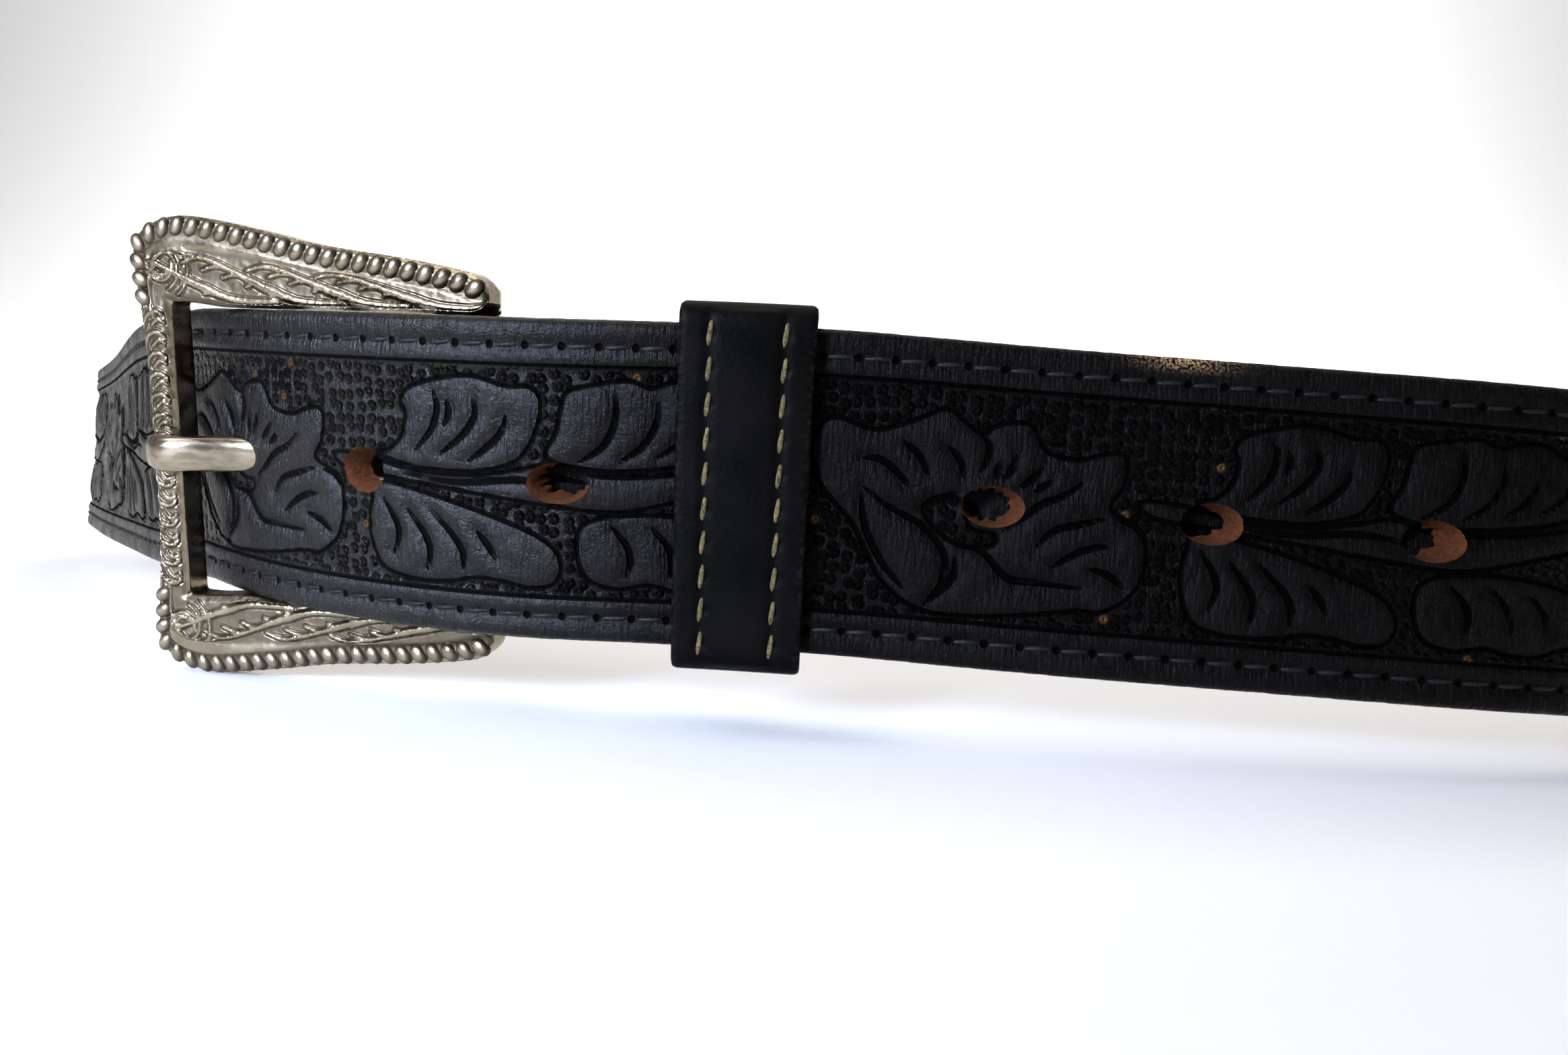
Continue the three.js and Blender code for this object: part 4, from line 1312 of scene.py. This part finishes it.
# Real sizes of the patterns
SEED_STAMP_MM = 1.5
GRAIN_MM = 0.35
STREAK_MM = 0.4
STREAK_STRETCH = 6.25
CLOUD_MM = 7
STITCH_HOLE_MM = 0.36
FIBRE_MM = 0.5
PLAIN_GRAIN_MM = 0.6
TWIST_MM = 0.35
PATCH_MM = 3.5
PITTING_MM = 0.7
RUB_LENGTH_MM = 5
RUB_WIDTH_MM = 2 / 3


def tooled_leather():
    """Vegetable-tanned cowhide, tooled, dyed black and waxed: a soft sheen, dull in the stamped ground."""
    material, tree = new_material("tooled_cowhide_dyed_black")
    ground, tooled, edge, scuff, flesh, to_outline, to_cut, polished = (
        add(tree, "Attribute", output="Fac", attribute_name=name)
        for name in ("ground", "tooled", "edge_wear", "scuff", "flesh", "to_outline", "to_cut", "polished")
    )
    uv = add(tree, "UVMap", uv_map="strap_map")
    in_mm = add(tree, "Mapping", {"Vector": uv, "Scale": (UV_UNIT, UV_UNIT, 1)})
    stretched = add(tree, "Mapping", {"Vector": uv, "Scale": (UV_UNIT, UV_UNIT / STREAK_STRETCH, 1)})
    across = add(tree, "SeparateXYZ", [in_mm], "Y")
    seeds = add(
        tree, "TexVoronoi", {"Vector": in_mm, "Scale": 1 / SEED_STAMP_MM, "Randomness": 0.55},
        voronoi_dimensions="2D", feature="F1",
    )
    grain, clouds, streaks = (
        add(tree, "TexNoise", {"Vector": place, "Scale": 1 / size, "Detail": detail, "Roughness": roughness},
            noise_dimensions="2D")
        for place, size, detail, roughness in (
            (in_mm, GRAIN_MM, 4, 0.6), (in_mm, CLOUD_MM, 5, 0.65), (stretched, STREAK_MM, 3, 0.5),
        )
    )

    # The seed stamps: a dome each, with a dimple in its middle
    dome = add(tree, "MapRange", [seeds, 0.48, 0.2])
    dimple = add(tree, "MapRange", [seeds, 0.2, 0.05, 0, 0.7])
    stamped = add(tree, "Math", [dome, dimple], operation="SUBTRACT")
    stamped = add(tree, "Math", [stamped, ground], operation="MULTIPLY")

    # The knife's outlines, the border line and the cuts
    from_middle = add(tree, "Math", [across], operation="ABSOLUTE")
    to_border = add(tree, "Math", [BORDER_LINE, from_middle], operation="SUBTRACT")
    within = add(tree, "MapRange", [to_border, 0.1, 0.5])
    from_border = add(tree, "Math", [to_border], operation="ABSOLUTE")
    border = add(tree, "MapRange", [from_border, 0.3, 0.08])
    from_outline = add(tree, "Math", [to_outline], operation="ABSOLUTE")
    outline = add(tree, "MapRange", [from_outline, 0.34, 0.1])
    blade = add(tree, "MapRange", [to_cut, 0.1, -0.14])
    marks = add(tree, "Math", [outline, within], operation="MULTIPLY")
    for operation, other in (("MAXIMUM", border), ("MAXIMUM", blade), ("MULTIPLY", tooled)):
        marks = add(tree, "Math", [marks, other], operation=operation)

    # The needle holes between the edge stitches
    phase = across.node.outputs["X"]
    for operation, other in (
        ("SUBTRACT", STITCH_START - STITCH_PITCH), ("MODULO", STITCH_PITCH), ("SUBTRACT", STITCH_PITCH / 2),
    ):
        phase = add(tree, "Math", [phase, other], operation=operation)
    beside_row = add(tree, "Math", [from_middle, STITCH_LINE], operation="SUBTRACT")
    pit = add(tree, "CombineXYZ", [phase, beside_row])
    pit = add(tree, "VectorMath", [pit], "Value", operation="LENGTH")
    pit = add(tree, "MapRange", [pit, STITCH_HOLE_MM * 1.4, STITCH_HOLE_MM * 0.7])
    pit = add(tree, "Math", [pit, tooled], operation="MULTIPLY")
    marks = add(tree, "Math", [marks, pit], operation="MAXIMUM")

    # Shares of each colour, from the dye up to the flesh side
    # Painted shade: the hollows between the seed domes in the stamped ground are darkened.
    low = add(tree, "MapRange", [seeds, 0.25, 0.48, 0, 0.9])
    picked = add(tree, "SeparateColor", [seeds.node.outputs["Color"]], "Red")
    fleck = add(tree, "Math", [picked, 0.975], operation="GREATER_THAN")
    fleck = add(tree, "Math", [fleck, dome], operation="MULTIPLY")
    fleck = add(tree, "Math", [fleck, 0.4], operation="MULTIPLY")
    rub = add(tree, "MapRange", [grain, 0.5, 0.8, 0, 0.5])
    bare = add(tree, "MapRange", [grain, 0.46, 0.58])
    # The tool marks (outlines, border line, cuts and needle holes) are darkened as painted shade in their
    # hollows.
    low, fleck, rub, bare, marks_painted_shade = (
        add(tree, "Math", pair, operation="MULTIPLY")
        for pair in ((low, ground), (fleck, ground), (rub, edge), (bare, scuff), (marks, 0.95))
    )
    dye = add(tree, "MapRange", [clouds, 0.35, 0.7])
    # Painted highlight: the streaks are lightened as if they caught the light.
    lit = add(tree, "MapRange", [streaks, 0.5, 0.78, 0, 0.6])
    fibre = add(tree, "MapRange", [grain, 0.3, 0.7])
    inner = add(tree, "Mix", {0: fibre, 6: colour(0x0E0B09), 7: colour(0x1D1713)}, 2, data_type="RGBA")
    base = colour(0x040303)
    for share, over in (
        (dye, colour(0x090808)), (lit, colour(0x131211)), (low, colour(0x030303)), (fleck, colour(0x80603E)),
        (marks_painted_shade, colour(0x020202)), (rub, colour(0x2E2A28)), (bare, colour(0x9A7A58)), (flesh, inner),
    ):
        base = add(tree, "Mix", {0: share, 6: base, 7: over}, 2, data_type="RGBA")

    rough = add(tree, "MapRange", [clouds, 0.3, 0.7, 0.18, 0.36])
    for part, share in ((marks, 0.4), (flesh, 0.35)):
        rough = add(tree, "Math", [part, share, rough], operation="MULTIPLY_ADD")
    height = 0
    for part, share in ((grain, 0.2), (streaks, 0.4), (clouds, 0.9), (stamped, 1.7), (marks, -0.9)):
        height = add(tree, "Math", [part, share, height], operation="MULTIPLY_ADD")
    bump = add(tree, "Bump", {"Height": height, "Distance": 0.0005, "Strength": 1})
    dull = add(tree, "Math", [flesh, 0.6], operation="MULTIPLY")
    dull = add(tree, "Math", [marks, dull], operation="MAXIMUM")
    gloss = add(tree, "MapRange", [polished, 0, 1, 0.04, 0.22])
    kept_gloss = add(tree, "MapRange", [dull, 0, 1, 1, 0.12])
    shine = add(tree, "Math", [gloss, kept_gloss], operation="MULTIPLY")
    shader = add(tree, "BsdfPrincipled", {
        "Base Color": base, "Roughness": rough, "Normal": bump, "IOR": 1.5, "Specular IOR Level": shine,
    })
    add(tree, "OutputMaterial", [shader])
    return material


def raw_leather():
    """The uncoloured middle of vegetable-tanned cowhide where the punch cut it: reddish brown and fibrous."""
    material, tree = new_material("punched_leather_fibre")
    place = add(tree, "TexCoord", output="Object")
    fibre = add(tree, "TexNoise", {
        "Vector": place, "Scale": 1 / (FIBRE_MM * MM), "Detail": 5, "Roughness": 0.7,
    })
    share = add(tree, "MapRange", [fibre, 0.3, 0.7])
    base = add(tree, "Mix", {0: share, 6: colour(0x2A150B), 7: colour(0x623519)}, 2, data_type="RGBA")
    bump = add(tree, "Bump", {"Height": fibre, "Distance": 0.0003, "Strength": 0.8})
    shader = add(tree, "BsdfPrincipled", {
        "Base Color": base, "Roughness": 0.85, "Normal": bump, "Specular IOR Level": 0.15,
    })
    add(tree, "OutputMaterial", [shader])
    return material


def keeper_leather():
    """Smooth cowhide, dyed black and burnished: plain, with a soft sheen and rubbed edges."""
    material, tree = new_material("burnished_cowhide_black")
    place = add(tree, "TexCoord", output="Object")
    cut, edge = (add(tree, "Attribute", output="Fac", attribute_name=name) for name in ("cut", "edge_wear"))
    grain = add(tree, "TexNoise", {
        "Vector": place, "Scale": 1 / (PLAIN_GRAIN_MM * MM), "Detail": 5, "Roughness": 0.6,
    })
    clouds = add(tree, "TexNoise", {"Vector": place, "Scale": 1 / (CLOUD_MM * MM), "Detail": 3})
    dye = add(tree, "MapRange", [clouds, 0.35, 0.7])
    rub = add(tree, "MapRange", [grain, 0.48, 0.75, 0, 0.5])
    rub = add(tree, "Math", [rub, edge], operation="MULTIPLY")
    base = colour(0x030303)
    # Painted shade: the stitch grooves and pits (the cut field) are darkened.
    for share, over in ((dye, 0x080707), (cut, 0x040404), (rub, 0x302C29)):
        base = add(tree, "Mix", {0: share, 6: base, 7: colour(over)}, 2, data_type="RGBA")
    rough = add(tree, "MapRange", [clouds, 0.3, 0.7, 0.36, 0.52])
    bump = add(tree, "Bump", {"Height": grain, "Distance": 0.00012, "Strength": 0.7})
    shader = add(tree, "BsdfPrincipled", {
        "Base Color": base, "Roughness": rough, "Normal": bump, "IOR": 1.5, "Specular IOR Level": 0.03,
    })
    add(tree, "OutputMaterial", [shader])
    return material


def thread(name, dark, light, roughness):
    """Waxed thread: two-toned by its twist, with hardly any shine."""
    material, tree = new_material(name)
    place = add(tree, "TexCoord", output="Object")
    twist = add(tree, "TexNoise", {"Vector": place, "Scale": 1 / (TWIST_MM * MM), "Detail": 3})
    share = add(tree, "MapRange", [twist, 0.35, 0.65])
    base = add(tree, "Mix", {0: share, 6: colour(dark), 7: colour(light)}, 2, data_type="RGBA")
    bump = add(tree, "Bump", {"Height": twist, "Distance": 0.00015, "Strength": 0.8})
    shader = add(tree, "BsdfPrincipled", {
        "Base Color": base, "Roughness": roughness, "Normal": bump, "Specular IOR Level": 0.2,
    })
    add(tree, "OutputMaterial", [shader])
    return material


def antique_silver():
    """Cast zinc alloy, silver-plated and blackened in its hollows: warm grey highs that shine, dark lows, and
    painted shade beside each raised line.
    """
    material, tree = new_material("antiqued_silver_plate")
    place = add(tree, "TexCoord", output="Object")
    recess, to_line = (
        add(tree, "Attribute", output="Fac", attribute_name=name) for name in ("recess", "to_line")
    )
    patches = add(tree, "TexNoise", {
        "Vector": place, "Scale": 1 / (PATCH_MM * MM), "Detail": 5, "Roughness": 0.65,
    })
    pitting = add(tree, "TexNoise", {"Vector": place, "Scale": 1 / (PITTING_MM * MM), "Detail": 3})
    plate = add(tree, "MapRange", [patches, 0.35, 0.7])
    dirt = add(tree, "MapRange", [patches, 0.25, 0.6, 0.65, 1])
    dirt = add(tree, "Math", [dirt, recess], operation="MULTIPLY")
    raised = add(tree, "MapRange", [to_line, 0.34, 0.1])
    # Painted shade: a darker band just beside each raised line.
    past_line = add(tree, "MapRange", [to_line, 0.3, 0.42])
    beside = add(tree, "MapRange", [to_line, 0.66, 0.5])
    beside = add(tree, "Math", [past_line, beside], operation="MULTIPLY")
    shade = add(tree, "Math", [beside, 0.6], operation="MULTIPLY")
    base = colour(0x8E826D)
    for share, over in ((plate, 0xB4A891), (dirt, 0x3F372C), (shade, 0x3A3226)):
        base = add(tree, "Mix", {0: share, 6: base, 7: colour(over)}, 2, data_type="RGBA")
    rough = add(tree, "MapRange", [patches, 0.3, 0.7, 0.17, 0.34])
    rough = add(tree, "Math", [dirt, 0.2, rough], operation="MULTIPLY_ADD")
    relief = add(tree, "Math", [raised, beside], operation="SUBTRACT")
    relief = add(tree, "Math", [pitting, 0.25, relief], operation="MULTIPLY_ADD")
    bump = add(tree, "Bump", {"Height": relief, "Distance": 0.0002, "Strength": 0.8})
    shader = add(tree, "BsdfPrincipled", {
        "Base Color": base, "Metallic": 1, "Roughness": rough, "Normal": bump,
    })
    add(tree, "OutputMaterial", [shader])
    return material


def bright_silver():
    """Silver-plated zinc alloy, polished by use: brighter than the frame, with faint rub marks along it."""
    material, tree = new_material("polished_silver_plate")
    place = add(tree, "TexCoord", output="Object")
    along = 1 / (RUB_LENGTH_MM * MM)
    across = 1 / (RUB_WIDTH_MM * MM)
    stretched = add(tree, "Mapping", {"Vector": place, "Scale": (along, across, across)})
    rubs = add(tree, "TexNoise", {"Vector": stretched, "Scale": 1, "Detail": 4})
    share = add(tree, "MapRange", [rubs, 0.35, 0.7])
    base = add(tree, "Mix", {0: share, 6: colour(0x85796A), 7: colour(0xA89C86)}, 2, data_type="RGBA")
    rough = add(tree, "MapRange", [rubs, 0.3, 0.7, 0.2, 0.34])
    bump = add(tree, "Bump", {"Height": rubs, "Distance": 0.00003, "Strength": 0.5})
    shader = add(tree, "BsdfPrincipled", {
        "Base Color": base, "Metallic": 1, "Roughness": rough, "Normal": bump,
    })
    add(tree, "OutputMaterial", [shader])
    return material


# Camera, light and floor. Places and sizes of lights and floor are in metres.

CAMERA_FROM_ZERO_MM = (41.6, -134.2, 0.7)
CAMERA_YAW = math.radians(-1.12)
CAMERA_PITCH = math.radians(2.62)
CAMERA_ROLL = math.radians(2.92)
CAMERA_LENS_MM = 24.34
CAMERA_SENSOR_MM = 36
LIGHTS = [
    {"name": "window", "place": (-0.46, -0.74, 0.24), "aim": (-0.09, -0.1, 0.03), "size": 0.26, "power": 0.75,
     "spread": 24, "tint": 0xD4E2FF},
    {"name": "high_window", "place": (-0.6, -0.5, 0.8), "aim": (-0.02, -0.1, 0.03), "size": 0.4, "power": 3.2,
     "spread": 180, "tint": 0xEEF2FF},
    {"name": "top", "place": (0.0, 0.3, 1.5), "aim": (0, 0.25, 0), "size": 1.4, "power": 15,
     "spread": 180, "tint": 0xFFF8F0},
    {"name": "back_left", "place": (-1.1, 1.3, 2.2), "aim": (-1.1, 3.2, 0.9), "size": 1.8, "power": 75,
     "spread": 180, "tint": 0xFFFFFF},
    {"name": "back_right", "place": (1.1, 1.3, 2.2), "aim": (1.1, 3.2, 0.9), "size": 1.8, "power": 75,
     "spread": 180, "tint": 0xFFFFFF},
]
WORLD_STRENGTH = 0.2
FLOOR_FRONT = 2.5
FLOOR_HALF_WIDTH = 5
FLOOR_DROP = 0.0002
SWEEP_BACK = 1.6
SWEEP_HEIGHT = 2.4


def place_object(name, data, place, rotation):
    obj = bpy.data.objects.new(name, data)
    bpy.context.scene.collection.objects.link(obj)
    obj.location = place
    obj.rotation_mode = "QUATERNION"
    obj.rotation_quaternion = rotation
    return obj


def camera():
    data = bpy.data.cameras.new("camera")
    data.lens = CAMERA_LENS_MM
    data.sensor_width = CAMERA_SENSOR_MM
    data.clip_start = 0.01
    level = Euler((math.pi / 2 - CAMERA_PITCH, 0, -CAMERA_YAW)).to_quaternion()
    roll = Euler((0, 0, CAMERA_ROLL)).to_quaternion()
    place = settled(np.array(CAMERA_FROM_ZERO_MM))
    bpy.context.scene.camera = place_object("camera", data, place, level @ roll)


def lights():
    for row in LIGHTS:
        data = bpy.data.lights.new(row["name"], "AREA")
        data.size = row["size"]
        data.energy = row["power"]
        data.spread = math.radians(row["spread"])
        data.color = colour(row["tint"])[:3]
        aim = Vector(row["aim"]) - Vector(row["place"])
        place_object(row["name"], data, row["place"], aim.to_track_quat("-Z", "Y"))
    world = bpy.data.worlds.new("studio")
    world.use_nodes = True
    world.node_tree.nodes.clear()
    sky = add(world.node_tree, "Background", {"Color": colour(0xF6F4F2), "Strength": WORLD_STRENGTH})
    add(world.node_tree, "OutputWorld", [sky])
    bpy.context.scene.world = world


def floor():
    """A pale floor that sweeps up into a backdrop far behind the belt."""
    ground = new_shape(bpy.ops.mesh.primitive_grid_add, x_subdivisions=2, y_subdivisions=60, size=2)
    named(ground, "floor")
    points = coordinates(ground)
    way = (points[:, 1] + 1) / 2 * (FLOOR_FRONT + SWEEP_BACK + 2 * SWEEP_HEIGHT) - FLOOR_FRONT
    quarter = SWEEP_HEIGHT * math.pi / 2
    bend = np.clip((way - SWEEP_BACK) / quarter, 0, 1) * math.pi / 2
    back = np.minimum(way, SWEEP_BACK) + SWEEP_HEIGHT * np.sin(bend)
    up = SWEEP_HEIGHT * (1 - np.cos(bend)) + np.maximum(way - SWEEP_BACK - quarter, 0)
    set_coordinates(ground, np.column_stack([points[:, 0] * FLOOR_HALF_WIDTH, back, up - FLOOR_DROP]))
    material, tree = new_material("pale_floor")
    shader = add(tree, "BsdfPrincipled", {"Base Color": colour(0xF3F3F3), "Roughness": 0.8})
    add(tree, "OutputMaterial", [shader])
    ground.data.materials.append(material)
    smooth(ground, 60)


bpy.context.scene.view_settings.view_transform = "Standard"
camera()
lights()
floor()
black_leather = tooled_leather()
silver_plate = antique_silver()
polished_plate = bright_silver()
strap(black_leather, raw_leather())
edge_stitches(thread("black_waxed_thread", 0x050506, 0x101012, 0.5))
keeper(keeper_leather())
keeper_stitches(thread("olive_waxed_thread", 0x332B19, 0x6B5E3C, 0.6))
buckle_frame(silver_plate)
rope_edge(silver_plate)
prong(polished_plate)
fold_post(1, -1, polished_plate)
fold_post(2, 1, polished_plate)
